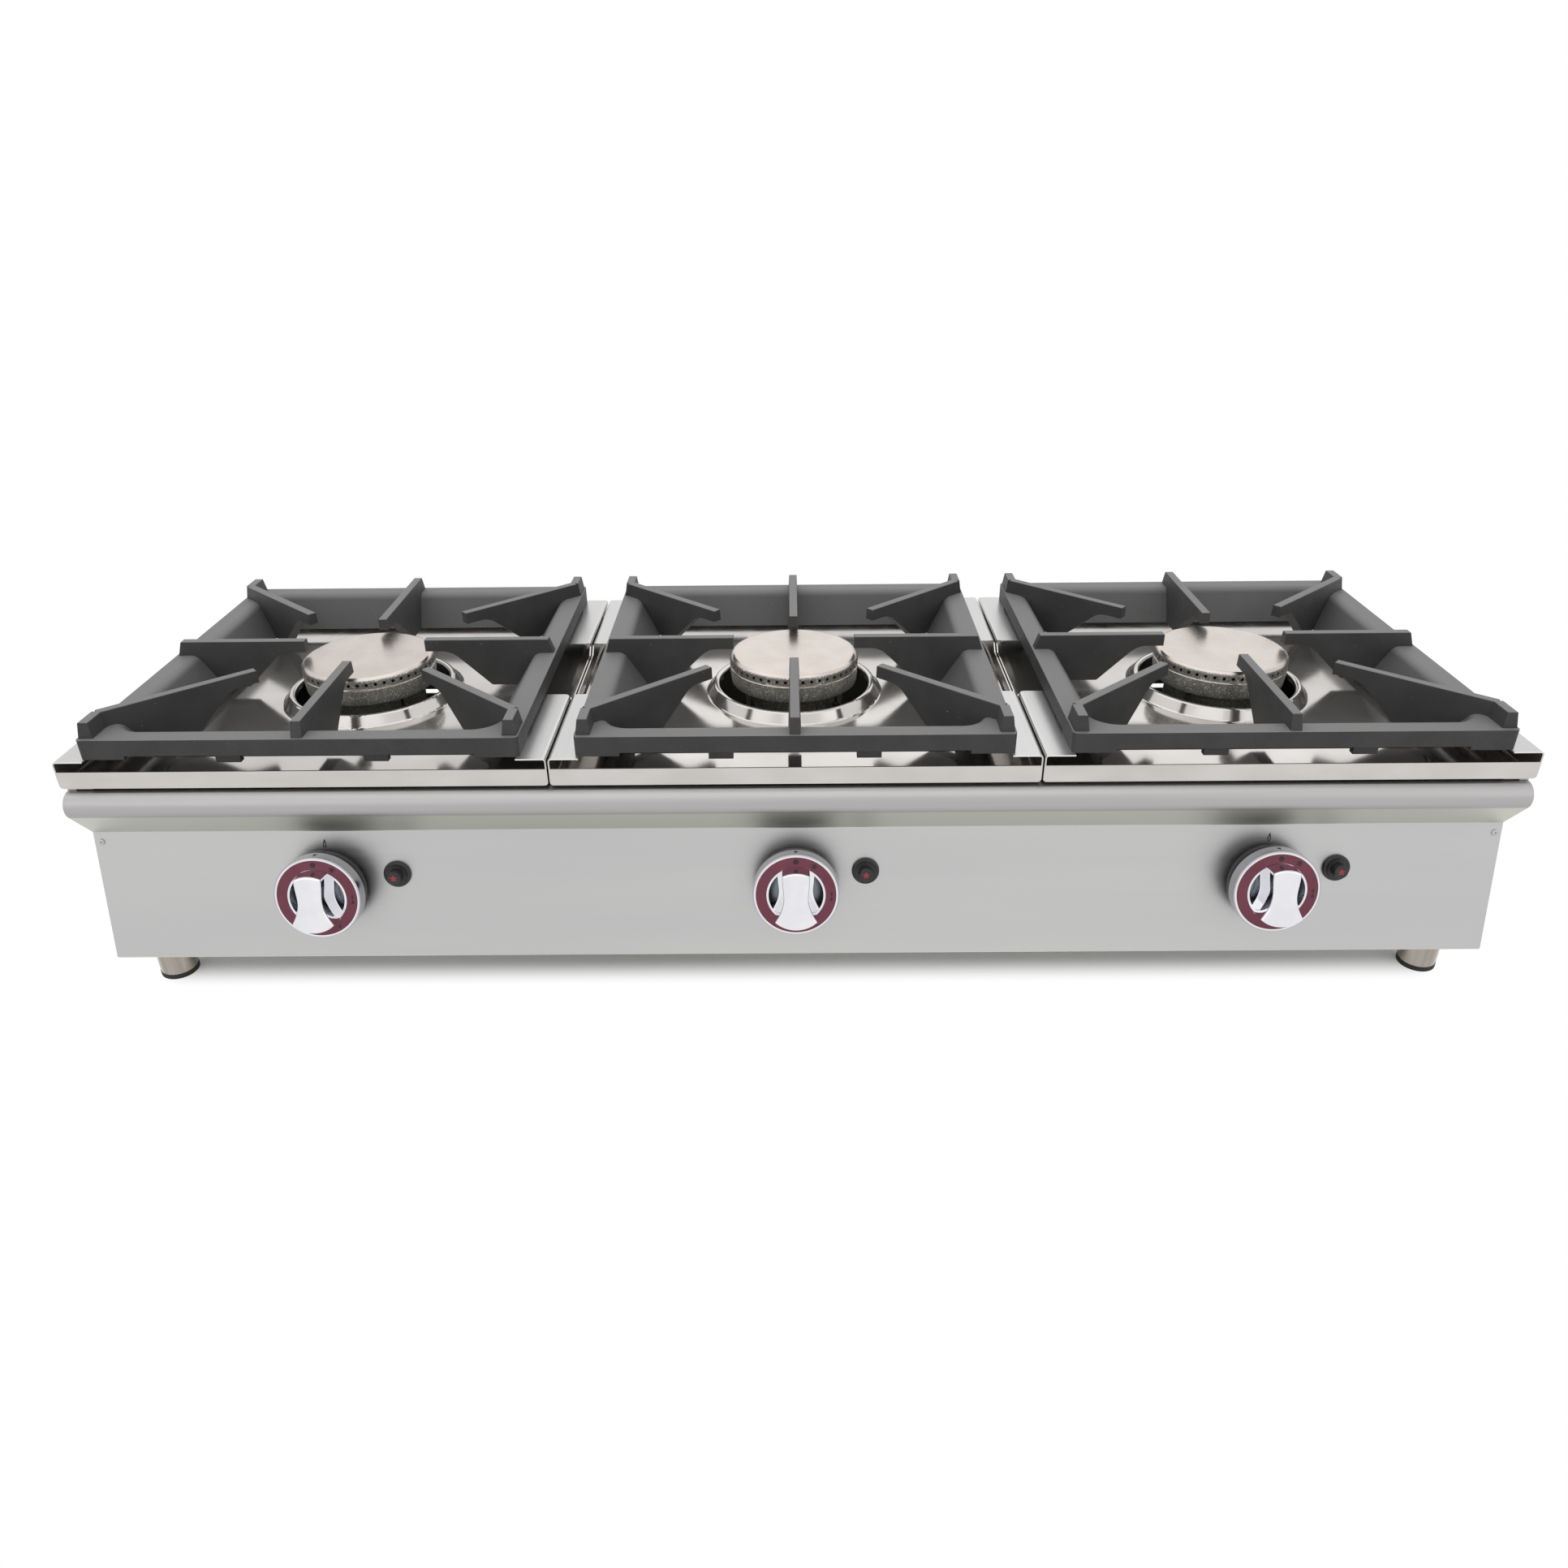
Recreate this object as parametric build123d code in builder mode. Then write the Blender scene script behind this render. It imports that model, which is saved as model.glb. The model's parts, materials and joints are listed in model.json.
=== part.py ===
from build123d import *
from math import atan, cos, degrees, radians, sin, sqrt, tan
import os

# A countertop gas range with three open burners side by side.
# Millimetres. X runs to the right, Y to the back and Z up.
# The origin is on the worktop, under the middle of the whole range.

# Layout of the whole range
module_names = ("left", "middle", "right")
module_pitch = 400.0
tray_overhang = 5.0
leg_clearance = 45.0
body_height = 166.0
sheet = 1.5
running = 0.05
easy = 0.3

# Drip trays
tray_gap = 1.5
tray_depth = 374.5
tray_height = 24.3
tray_sheet = 1.2
tray_low_wall = 14.9
tray_flange = 24.5
tray_flange_length = 126.4
tray_corner = 6.0
tray_bend = 3.0
notch_slope = 8.0
collar_hole_radius = 70.0
collar_rise = 10.8
collar_lip = 2.6
collar_skirt = 9.0

# Control panel and nose
panel_tilt = 11.3
tray_setback = 14.7
nose_gap = 2.8
nose_radius = 12.0
nose_reach = 25.7
nose_slant = 50.0
ledge_depth = 30.0
ledge_lip = 12.0
panel_return = 20.0
riser_return = 5.0
side_flange = 20.0
rear_gap = 13.5
rear_flange = 22.0
rivet_radius = 2.8
rivet_height = 1.1
rivet_shank = 1.6
rivet_length = 5.0
head_rounding = 0.6
rivet_inset = 5.6
rivet_drop = 9.0

# Knobs, in heights above the control panel
knob_drop = 50.0
knob_travel = 4.0
knob_clearance = 1.0
knob_skirt_radius = 33.6
knob_skirt_height = 9.2
knob_radius = 36.2
knob_band = 14.4
knob_rim = 2.6
knob_rounding = 1.0
dial_thickness = 0.8
dial_inner_radius = 24.7
pocket_radius = 22.9
pocket_depth = 12.0
shoulder_width = 4.4
shoulder_drop = 1.2
shoulder_rounding = 0.8
grip_rise = 16.4
grip_top_width = 22.6
grip_waist_width = 20.6
grip_foot_width = 33.0
grip_reach = 25.2
grip_edge = 2.0
grip_flare = 0.6
skirt_shell = 2.5
hub_radius = 8.0
spindle_radius = 4.0
spindle_flat = 2.8
spindle_reach = 7.3
spindle_hole_radius = 6.5

# Gas valves, behind the control panel
valve_bonnet_radius = 11.0
valve_bonnet_length = 10.5
valve_width = 34.0
valve_body_height = 38.0
valve_length = 38.0
magnet_radius = 8.0
magnet_length = 24.0
push_rod_radius = 2.0
push_rod_length = 32.0
push_bore = 20.0
spindle_stop = 5.0
spindle_room = 15.0
port_feed = 3.0
boss_radius = 7.0
boss_height = 8.0
saddle_radius = 9.0
manifold_radius = 10.65
manifold_bore = 8.0
manifold_gap = 2.5
manifold_overrun = 30.0
manifold_bend = 50.0
manifold_plug = 4.0
inlet_offset = 530.0
inlet_radius = 10.45
inlet_stub = 20.0
inlet_neck = 1.5
inlet_neck_show = 1.0
inlet_hex = 30.0
inlet_hex_length = 12.0
inlet_notch = 0.65
inlet_bore = 7.0
inlet_chamfer = 1.0

# Piezo igniters
igniter_offset = 59.5
igniter_drop = 39.5
bezel_radius = 11.6
bezel_height = 3.0
bezel_collar_radius = 8.6
bezel_collar_height = 1.4
barrel_radius = 8.8
barrel_length = 14.0
igniter_rear_length = 24.0
terminal_radius = 1.6
terminal_length = 8.0
button_radius = 5.8
button_rise = 12.0
button_depth = 8.0
button_travel = 6.0
button_rounding = 0.8

# Burners: heights are below or above the tops of the tray flanges
cap_top = 15.0
cap_height = 10.7
cap_radius = 60.0
cap_plate = 3.4
cap_wall = 6.0
cap_spigot = 4.0
cap_spigot_wall = 3.0
cap_rounding = 4.5
cap_lip_rounding = 0.8
port_count = 48
port_radius = 1.5
port_rise = 4.4
head_radius = 60.2
head_height = 16.0
head_taper = 1.4
cup_radius = 46.0
cup_wall = 5.0
cup_depth = 79.3
venturi_radius = 19.0
venturi_bore = 14.0
venturi_mouth_radius = 24.0
venturi_mouth_length = 14.0
venturi_drop = 55.5
mouth_chamfer = 5.0
ear_width = 14.0
ear_thickness = 5.0
ear_length = 154.0
ear_spread = 26.0
burner_rail_spread = 62.0
burner_rail_width = 30.0
burner_rail_height = 20.0
screw_radius = 2.5
screw_head_radius = 4.5
screw_head_height = 3.0
screw_length = 14.0
screw_slot_length = 5.0
screw_slot_width = 1.0
screw_slot_depth = 1.6

# Electrodes and thermocouples, on lugs of the burner cups
probe_spread = 54.0
probe_azimuth = 45.0
lug_thickness = 8.0
lug_drop = 45.0
lug_radius = 7.0
probe_collar_radius = 5.5
probe_collar_height = 3.0
electrode_radius = 3.4
electrode_tip_radius = 1.2
electrode_tip_length = 7.0
electrode_length = 42.0
probe_top_drop = 14.0
thermocouple_radius = 2.3
thermocouple_length = 47.0
capillary_radius = 1.1
lead_radius = 1.5
lead_drop = 45.0
lead_run = 20.0
capillary_nut_radius = 5.0
capillary_nut_length = 8.0

# Gas pipes and injectors
pipe_radius = 5.0
pipe_bore = 4.0
pipe_start_run = 14.0
elbow_size = 14.0
elbow_height = 22.0
nozzle_radius = 4.6
nozzle_bore = 0.9
nozzle_length = 6.0
nozzle_gap = 5.0

# Pan supports: heights are above the tops of the tray flanges
support_setback = 3.85
flange_show = 21.5
rail_top = 17.2
rail_underside = 3.0
rail_width = 19.0
rail_roll = 10.0
rail_lip = 5.0
rail_plate = 6.0
skirt_bottom = -14.0
skirt_run = 20.0
skirt_wall = 6.0
support_corner = 4.0
pocket_corner = 24.0
foot_length = 36.0
finger_top = 30.5
finger_tip = 11.0
finger_width = 8.0
finger_draft = 2.2
finger_setback = 6.5
finger_heel = 5.0
finger_neck = 24.0
neck_radius = 22.0
finger_rounding = 0.8
finger_root = 2.0
side_tip_radius = 56.0
front_tip_radius = 52.0
diagonal_tip_x = 75.0
diagonal_tip_y = 70.0
diagonal_inset = 7.3
post_setback = 6.0
post_length = 22.0
post_draft = 8.0
web_reach = 24.0
lug_spacing = 120.0
support_lug_width = 20.0
support_lug_drop = 8.0

# Legs with levelling pads
leg_inset = 23.5
leg_front_setback = 44.6
leg_rear_setback = 44.6
leg_radius = 16.0
leg_wall = 1.5
bush_hold = 5.0
bush_top = 2.0
pad_radius = 16.3
pad_height = 5.0
pad_rounding = 1.0
pad_plug_height = 10.0
pad_rod_radius = 5.0
pad_travel = 15.0
stud_radius = 4.0
stud_length = 12.0
nut_radius = 7.5
nut_height = 6.5

# Rails under the trays
tray_rail_width = 40.0
tray_rail_height = 20.0

# Rear panel and base pan
vent_length = 60.0
vent_width = 5.0
vent_pitch = 12.0
vent_rows = 5
vent_height = 55.0
base_upstand = 25.0
base_setback = 4.0
rear_screw_rows = (30.0, 82.0, 134.0)

# Places that follow from the sizes above
tilt = radians(panel_tilt)
slant = radians(nose_slant)
module_x = [module_pitch * (number - 1) for number in range(len(module_names))]
tray_width = module_pitch - tray_gap
body_width = module_pitch * len(module_names) - 2 * tray_overhang
half_body = body_width / 2
seat_z = leg_clearance + body_height
flange_z = seat_z + tray_height
knob_gap = knob_travel + knob_clearance
knob_front = knob_gap + knob_skirt_height + knob_band
grip_front = knob_front + grip_rise
knob_reach = (
    cos(tilt) * (grip_front - grip_edge)
    + sin(tilt) * (grip_reach - grip_edge + knob_drop)
    + grip_edge
    - tray_setback
)
total_depth = knob_reach + tray_depth + rear_gap + inlet_stub
front_y = knob_reach - total_depth / 2
rear_y = front_y + tray_depth + rear_gap
module_y = front_y + tray_depth / 2
nose_top_z = seat_z - nose_gap
nose_rise = (nose_radius + (nose_reach - nose_radius) * sin(slant)) / cos(slant)
panel_top_y = front_y + tray_setback
panel_top_z = nose_top_z - nose_radius - nose_rise
nose_centre_y = panel_top_y - nose_reach + nose_radius
nose_corner_y = panel_top_y - (nose_top_z - panel_top_z) / tan(slant)
ledge_y = nose_centre_y + ledge_depth
riser_y = nose_centre_y + 1
panel_slope = (panel_top_z - leg_clearance) / cos(tilt)
panel_bottom_y = panel_top_y - panel_slope * sin(tilt)
base_z = leg_clearance + sheet

panel_normal = Vector(0, -cos(tilt), sin(tilt))
panel_up = Vector(0, sin(tilt), cos(tilt))
panel_top = Vector(0, panel_top_y, panel_top_z)
panel_plane = Plane(origin=panel_top, x_dir=(1, 0, 0), z_dir=panel_normal)
knob_plane = Plane(origin=panel_top - panel_up * knob_drop, x_dir=(1, 0, 0), z_dir=panel_normal)
igniter_spot = panel_top - panel_up * igniter_drop + Vector(igniter_offset, 0, 0)
igniter_plane = Plane(origin=igniter_spot, x_dir=(1, 0, 0), z_dir=panel_normal)

os.makedirs("parts", exist_ok=True)


def save(part, label):
    """Name a finished piece and write it."""
    part.label = label
    export_step(part, f"parts/{label}.step")


def save_copies(part, kind):
    """Write one copy of a piece for each module."""
    for name, x in zip(module_names, module_x):
        with BuildPart() as piece:
            with Locations((x, 0, 0)):
                add(part)
        save(piece.part, f"{kind}_{name}")


def save_group(part, label):
    """Write the copies of a piece for all modules as one node."""
    with BuildPart() as group:
        with Locations(*[(x, 0, 0) for x in module_x]):
            add(part)
    save(group.part, label)


def bent_strip(plane, points, bends, wall, side):
    """The section of a bent sheet whose one skin follows the points."""
    with BuildSketch(plane) as section:
        with BuildLine():
            FilletPolyline(*points, radius=bends)
            offset(amount=wall, side=side)
        make_face()
    return section.sketch


def bend_radii(points):
    """For each corner of a route, 0.45 of its shorter run over the tangent of half the turn."""
    corners = [Vector(point) for point in points]
    radii = []
    for before, corner, after in zip(corners, corners[1:], corners[2:]):
        arriving = corner - before
        leaving = after - corner
        half_turn = radians(arriving.get_angle(leaving)) / 2
        radii.append(0.45 * min(arriving.length, leaving.length) / tan(half_turn))
    return radii


def tube_along(points, radius):
    """A round tube whose runs are joined by tangent arcs."""
    with BuildPart() as tube:
        with BuildLine() as route:
            FilletPolyline(*points, radius=bend_radii(points))
        with BuildSketch(Plane(origin=route.line @ 0, z_dir=route.line % 0)):
            Circle(radius)
        sweep()
    return tube.part


def shaft(radius, low, high, mode=Mode.ADD):
    """A cylinder between two heights above the workplane in use."""
    with Locations((0, 0, low)):
        Cylinder(radius, high - low, align=(Align.CENTER, Align.CENTER, Align.MIN), mode=mode)


def headed(plane, spots, head, rise, shank, length):
    """Round-headed fasteners on a plane, with their heads out along its normal."""
    with BuildPart() as pieces:
        with BuildSketch(plane):
            with Locations(*spots):
                Circle(head)
        extrude(amount=rise)
        fillet(pieces.edges().group_by(Axis(plane.origin, plane.z_dir))[-1], head_rounding * rise)
        with BuildSketch(plane):
            with Locations(*spots):
                Circle(shank)
        extrude(amount=-length)
    return pieces.part


def cross_screws(plane, spots):
    """Pan head screws with a cross recess."""
    with BuildPart() as screws:
        add(headed(plane, spots, screw_head_radius, screw_head_height, screw_radius, screw_length))
        with BuildSketch(plane.offset(screw_head_height)):
            with Locations(*spots):
                Rectangle(screw_slot_length, screw_slot_width)
                Rectangle(screw_slot_width, screw_slot_length)
        extrude(amount=-screw_slot_depth, mode=Mode.SUBTRACT)
    return screws.part


# Front panel: one sheet that makes the control panel, the slanted face, the nose and the ledge
panel_corners = [
    (panel_bottom_y + panel_return, leg_clearance),
    (panel_bottom_y, leg_clearance),
    (panel_top_y, panel_top_z),
    (nose_corner_y, nose_top_z),
]
panel_bends = [2 * sheet, sheet, nose_radius]
knob_spots = [(x, -knob_drop) for x in module_x]
igniter_spots = [(x + igniter_offset, -igniter_drop) for x in module_x]
rivet_spots = [(side * (half_body - rivet_inset), -rivet_drop) for side in (-1, 1)]
panel_section = bent_strip(
    Plane.YZ,
    panel_corners + [(ledge_y, nose_top_z), (ledge_y, nose_top_z - ledge_lip)],
    panel_bends + [2 * sheet],
    sheet,
    Side.RIGHT,
)
with BuildPart() as front_panel:
    extrude(panel_section, amount=half_body, both=True)
    with BuildSketch(panel_plane):
        with Locations(*knob_spots):
            Circle(spindle_hole_radius)
        with Locations(*igniter_spots):
            Circle(barrel_radius + easy)
        with Locations(*rivet_spots):
            Circle(rivet_shank + easy)
    extrude(amount=2 * sheet, both=True, mode=Mode.SUBTRACT)
    # The side panels' tops rise through a notch at each end of the ledge
    with BuildSketch(Plane.XY.offset(nose_top_z + sheet)):
        with Locations(*[(side * half_body, (riser_y + ledge_y) / 2 + sheet) for side in (-1, 1)]):
            Rectangle(2 * (sheet + easy), ledge_y - riser_y + 2 * sheet)
    extrude(amount=-(ledge_lip + 2 * sheet), mode=Mode.SUBTRACT)
save(front_panel.part, "front_panel")

# Side panels: a plate that closes the nose, with flanges behind the front, the top and the rear
plate_outline = panel_corners[1:] + [
    (riser_y, nose_top_z),
    (riser_y, seat_z),
    (rear_y - sheet, seat_z),
    (rear_y - sheet, leg_clearance),
]
with BuildSketch(Plane.YZ.offset(half_body - sheet)) as plate:
    with BuildLine():
        FilletPolyline(*plate_outline, radius=panel_bends + [0, 0, 0, 0], close=True)
    make_face()
    with BuildLine():
        FilletPolyline(*(panel_corners + [(riser_y, nose_top_z)]), radius=panel_bends)
        offset(amount=sheet, side=Side.RIGHT)
    make_face(mode=Mode.SUBTRACT)
flange_x = half_body - sheet / 2 - side_flange / 2
with BuildPart() as side_panel:
    extrude(plate.sketch, amount=sheet)
    with BuildSketch(panel_plane.offset(-sheet)):
        with Locations((flange_x, -panel_slope / 2)):
            Rectangle(side_flange, panel_slope - 6 * sheet)
        with Locations(rivet_spots[1]):
            Circle(rivet_shank + easy, mode=Mode.SUBTRACT)
    extrude(amount=-sheet)
    with BuildSketch(Plane.XY.offset(seat_z - sheet)):
        with Locations((flange_x, (riser_y + rear_y - sheet) / 2)):
            Rectangle(side_flange, rear_y - sheet - riser_y)
    extrude(amount=sheet)
    with BuildSketch(Plane.XZ.offset(-(rear_y - sheet))):
        with Locations((flange_x, (seat_z + leg_clearance) / 2)):
            Rectangle(side_flange, body_height)
        with Locations(*[(half_body - side_flange / 2, leg_clearance + row) for row in rear_screw_rows]):
            Circle(screw_radius + running, mode=Mode.SUBTRACT)
    extrude(amount=sheet)
    with BuildSketch(Plane.XZ.offset(-riser_y)):
        with Locations((half_body - sheet - riser_return / 2, (nose_top_z + easy + seat_z) / 2)):
            Rectangle(riser_return + sheet, seat_z - nose_top_z - easy)
    extrude(amount=-sheet)
save(side_panel.part, "side_panel_right")
with BuildPart() as side_panel_left:
    mirror(side_panel.part, about=Plane.YZ)
save(side_panel_left.part, "side_panel_left")

# Blind rivets: a domed head with a mandrel hole, and a shank through panel and flange
with BuildPart() as rivets:
    add(headed(panel_plane, rivet_spots, rivet_radius, rivet_height, rivet_shank, rivet_length))
    with BuildSketch(panel_plane.offset(rivet_height)):
        with Locations(*rivet_spots):
            Circle(rivet_shank / 2)
    extrude(amount=-rivet_height, mode=Mode.SUBTRACT)
save(rivets.part, "panel_rivets")

# Rear panel: a flanged sheet with vents, a hole for the gas inlet and holes for its screws
manifold_drop = valve_body_height / 2 + manifold_gap + manifold_radius
valve_back = sheet + valve_bonnet_length + valve_length
valve_middle = valve_back - valve_length / 2
manifold_spot = knob_plane.from_local_coords(Vector(0, -manifold_drop, -valve_middle))
rear_plane = Plane(origin=(0, rear_y, 0), x_dir=(-1, 0, 0), z_dir=(0, 1, 0))
rear_screw_spots = [
    (side * (half_body - side_flange / 2), leg_clearance + row)
    for side in (-1, 1)
    for row in rear_screw_rows
]
with BuildPart() as rear_panel:
    with BuildSketch(rear_plane):
        with Locations((0, leg_clearance + body_height / 2)):
            Rectangle(body_width, body_height)
        with Locations((-inlet_offset, manifold_spot.Z)):
            Circle(inlet_radius + inlet_neck + easy, mode=Mode.SUBTRACT)
        with Locations(*rear_screw_spots):
            Circle(screw_radius + running, mode=Mode.SUBTRACT)
        for x in module_x:
            with Locations((x, leg_clearance + vent_height)):
                with GridLocations(vent_pitch, vent_pitch, 1, vent_rows):
                    SlotOverall(vent_length, vent_width, mode=Mode.SUBTRACT)
    extrude(amount=-sheet)
    with BuildSketch(Plane.XY.offset(seat_z)):
        with Locations((0, rear_y - rear_flange / 2)):
            Rectangle(body_width - 2 * (side_flange + 2 * sheet), rear_flange)
    extrude(amount=-sheet)
save(rear_panel.part, "rear_panel")
save(cross_screws(rear_plane, rear_screw_spots), "rear_screws")

# Base pan: it lies on the return of the front panel and turns up at the sides and the rear
pan_width = body_width - 2 * sheet
pan_front = panel_bottom_y + base_setback
pan_rear = rear_y - 2 * sheet
tongue_width = body_width - 2 * (side_flange + sheet)
leg_x = half_body - leg_inset
leg_spots = [
    (side * leg_x, y)
    for side in (-1, 1)
    for y in (panel_bottom_y + leg_front_setback, rear_y - leg_rear_setback)
]
upstand_front = pan_front + base_upstand * tan(tilt) + sheet
with BuildPart() as base_pan:
    with BuildSketch(Plane.XY.offset(base_z)):
        with Locations((0, (pan_front + pan_rear) / 2)):
            Rectangle(pan_width, pan_rear - pan_front)
        with Locations((0, pan_rear - sheet / 2)):
            Rectangle(tongue_width, 3 * sheet)
        with Locations(*leg_spots):
            Circle(stud_radius + running, mode=Mode.SUBTRACT)
        with Locations(*[(x, 0) for x in module_x]):
            with GridLocations(vent_length * 2, vent_pitch * 2, 2, vent_rows):
                SlotOverall(vent_length, vent_width, mode=Mode.SUBTRACT)
    extrude(amount=sheet)
    with BuildSketch(Plane.XY.offset(base_z)):
        with Locations(*[(side * (pan_width - sheet) / 2, (upstand_front + pan_rear) / 2)
                         for side in (-1, 1)]):
            Rectangle(sheet, pan_rear - upstand_front)
        with Locations((0, pan_rear + sheet / 2)):
            Rectangle(tongue_width, sheet)
    extrude(amount=base_upstand)
    with BuildSketch(rear_plane):
        with Locations((-inlet_offset, manifold_spot.Z)):
            Circle(inlet_hex * inlet_notch)
    extrude(amount=-2 * inlet_hex_length, mode=Mode.SUBTRACT)
save(base_pan.part, "base_pan")

# Rails under the trays: upturned channels from the ledge to the rear panel
rail_inner = (tray_rail_width - sheet) / 2
rail_x = [side * module_pitch / 2 for side in (-1, 1)]
with BuildPart() as tray_rails:
    with BuildSketch(Plane.XZ.offset(-ledge_y)):
        with Locations(*[(x, seat_z - sheet / 2) for x in rail_x]):
            Rectangle(tray_rail_width, sheet)
    extrude(amount=-(rear_y - rear_flange - easy - ledge_y))
    with BuildSketch(Plane.XZ.offset(-ledge_y)):
        with Locations(*[(x + side, seat_z - (tray_rail_height + sheet) / 2)
                         for x in rail_x for side in (-rail_inner, rail_inner)]):
            Rectangle(sheet, tray_rail_height - sheet)
    extrude(amount=-(rear_y - sheet - ledge_y))
save(tray_rails.part, "tray_rails")

# Rails under the burners: upturned channels from side to side
head_top = flange_z + cap_top - cap_height
burner_z = head_top - cup_depth
burner_screw_spots = [
    (x + right * ear_spread, module_y + back * burner_rail_spread)
    for x in module_x
    for right in (-1, 1)
    for back in (-1, 1)
]
with BuildPart() as burner_rails:
    with BuildSketch(Plane.YZ):
        for back in (-1, 1):
            with Locations((module_y + back * burner_rail_spread, burner_z)):
                Rectangle(burner_rail_width, burner_rail_height, align=(Align.CENTER, Align.MAX))
            with Locations((module_y + back * burner_rail_spread, burner_z - sheet)):
                Rectangle(burner_rail_width - 2 * sheet, burner_rail_height,
                          align=(Align.CENTER, Align.MAX), mode=Mode.SUBTRACT)
    extrude(amount=half_body - sheet, both=True)
    with BuildSketch(Plane.XY.offset(burner_z)):
        with Locations(*burner_screw_spots):
            Circle(screw_radius + running)
    extrude(amount=-2 * sheet, mode=Mode.SUBTRACT)
save(burner_rails.part, "burner_rails")
ear_plane = Plane.XY.offset(burner_z + ear_thickness)
save(cross_screws(ear_plane, burner_screw_spots), "burner_screws")

# Legs: a tube with a threaded bush at its top and a stud through the base pan
leg_bush_length = pad_travel + bush_hold
bush_z = base_z - leg_bush_length
with BuildPart() as legs:
    with BuildSketch(Plane.XY.offset(pad_height)):
        with Locations(*leg_spots):
            Circle(leg_radius)
            Circle(leg_radius - leg_wall, mode=Mode.SUBTRACT)
    extrude(amount=base_z - pad_height)
    with BuildSketch(Plane.XY.offset(bush_z)):
        with Locations(*leg_spots):
            Circle(leg_radius - leg_wall / 2)
    extrude(amount=leg_bush_length)
    with BuildSketch(Plane.XY.offset(bush_z)):
        with Locations(*leg_spots):
            Circle(pad_rod_radius + running)
    extrude(amount=leg_bush_length - bush_top, mode=Mode.SUBTRACT)
    with BuildSketch(Plane.XY.offset(base_z)):
        with Locations(*leg_spots):
            Circle(stud_radius)
    extrude(amount=stud_length)
save(legs.part, "legs")

with BuildPart() as leg_nuts:
    with BuildSketch(Plane.XY.offset(base_z + sheet)):
        with Locations(*leg_spots):
            RegularPolygon(nut_radius, 6)
            Circle(stud_radius + running, mode=Mode.SUBTRACT)
    extrude(amount=nut_height)
save(leg_nuts.part, "leg_nuts")

# Levelling pads: a foot, a plug inside the tube and a rod in the bush
pad_rod_top = base_z - bush_top - easy
for name, spot in zip(("front_left", "rear_left", "front_right", "rear_right"), leg_spots):
    with BuildPart(Plane(origin=(*spot, 0))) as leg_pad:
        shaft(pad_radius, 0, pad_height)
        fillet(leg_pad.edges().group_by(Axis.Z)[0], pad_rounding)
        shaft(leg_radius - leg_wall - easy, pad_height, pad_height + pad_plug_height)
        shaft(pad_rod_radius, pad_height + pad_plug_height, pad_rod_top)
    save(leg_pad.part, f"leg_pad_{name}")

# Gas valves: bonnet, body, magnet, outlet boss and a saddle on the manifold
with BuildPart(knob_plane) as gas_valve:
    shaft(valve_bonnet_radius, -(sheet + valve_bonnet_length), -sheet)
    with Locations((0, 0, -valve_middle)):
        Box(valve_width, valve_body_height, valve_length)
        Cylinder(boss_radius, valve_body_height / 2 + boss_height, rotation=(-90, 0, 0),
                 align=(Align.CENTER, Align.CENTER, Align.MIN))
        Cylinder(saddle_radius, manifold_drop, rotation=(90, 0, 0),
                 align=(Align.CENTER, Align.CENTER, Align.MIN))
    shaft(magnet_radius, -(valve_back + magnet_length), -valve_back)
    with Locations((0, -manifold_drop, -valve_middle)):
        Cylinder(manifold_radius, 2 * valve_width, rotation=(0, 90, 0), mode=Mode.SUBTRACT)
    with Locations((0, 0, -valve_middle)):
        Cylinder(pipe_bore, valve_body_height, rotation=(-90, 0, 0),
                 align=(Align.CENTER, Align.CENTER, Align.MIN), mode=Mode.SUBTRACT)
        Cylinder(port_feed, manifold_drop, rotation=(90, 0, 0),
                 align=(Align.CENTER, Align.CENTER, Align.MIN), mode=Mode.SUBTRACT)
    shaft(spindle_radius + running, -(valve_back - spindle_stop), 0, Mode.SUBTRACT)
    shaft(push_rod_radius + running, -(valve_back + push_bore), 0, Mode.SUBTRACT)
save_copies(gas_valve.part, "gas_valve")

# Push rods, from the spindle's end to the magnet
spindle_end = valve_back - spindle_stop - spindle_room
with BuildPart(knob_plane) as push_rod:
    shaft(push_rod_radius, -(spindle_end + push_rod_length), -spindle_end)
save_copies(push_rod.part, "push_rod")

# Spindles with a flat where the knob sits
spindle_top = knob_gap + knob_skirt_height + spindle_reach
with BuildPart(knob_plane) as valve_spindle:
    shaft(spindle_radius, -spindle_end, spindle_top)
    with BuildSketch(knob_plane.offset(knob_gap)):
        with Locations((0, spindle_flat)):
            Rectangle(2 * spindle_radius, spindle_radius, align=(Align.CENTER, Align.MIN))
    extrude(amount=spindle_top, mode=Mode.SUBTRACT)
save_copies(valve_spindle.part, "valve_spindle")


def flatted_bore(height):
    """The spindle's section with clearance, at a height above the control panel."""
    with BuildSketch(knob_plane.offset(height)) as bore:
        Circle(spindle_radius + running)
        with Locations((0, spindle_flat + running)):
            Rectangle(3 * spindle_radius, spindle_radius,
                      align=(Align.CENTER, Align.MIN), mode=Mode.SUBTRACT)
    return bore.sketch


# Knobs: a ring around a sunk pocket, with a bar across it to hold and a shoulder on each side of the bar
knob_axis = Axis(knob_plane.origin, knob_plane.z_dir)
knob_base = knob_gap + knob_skirt_height
pocket_floor = knob_front - pocket_depth
top_y = sqrt((grip_reach - grip_edge)**2 - (grip_top_width / 2)**2)
foot_y = -sqrt((grip_reach - grip_edge)**2 - (grip_foot_width / 2)**2)
foot_run = Vector(grip_flare, -1).normalized()


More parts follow.
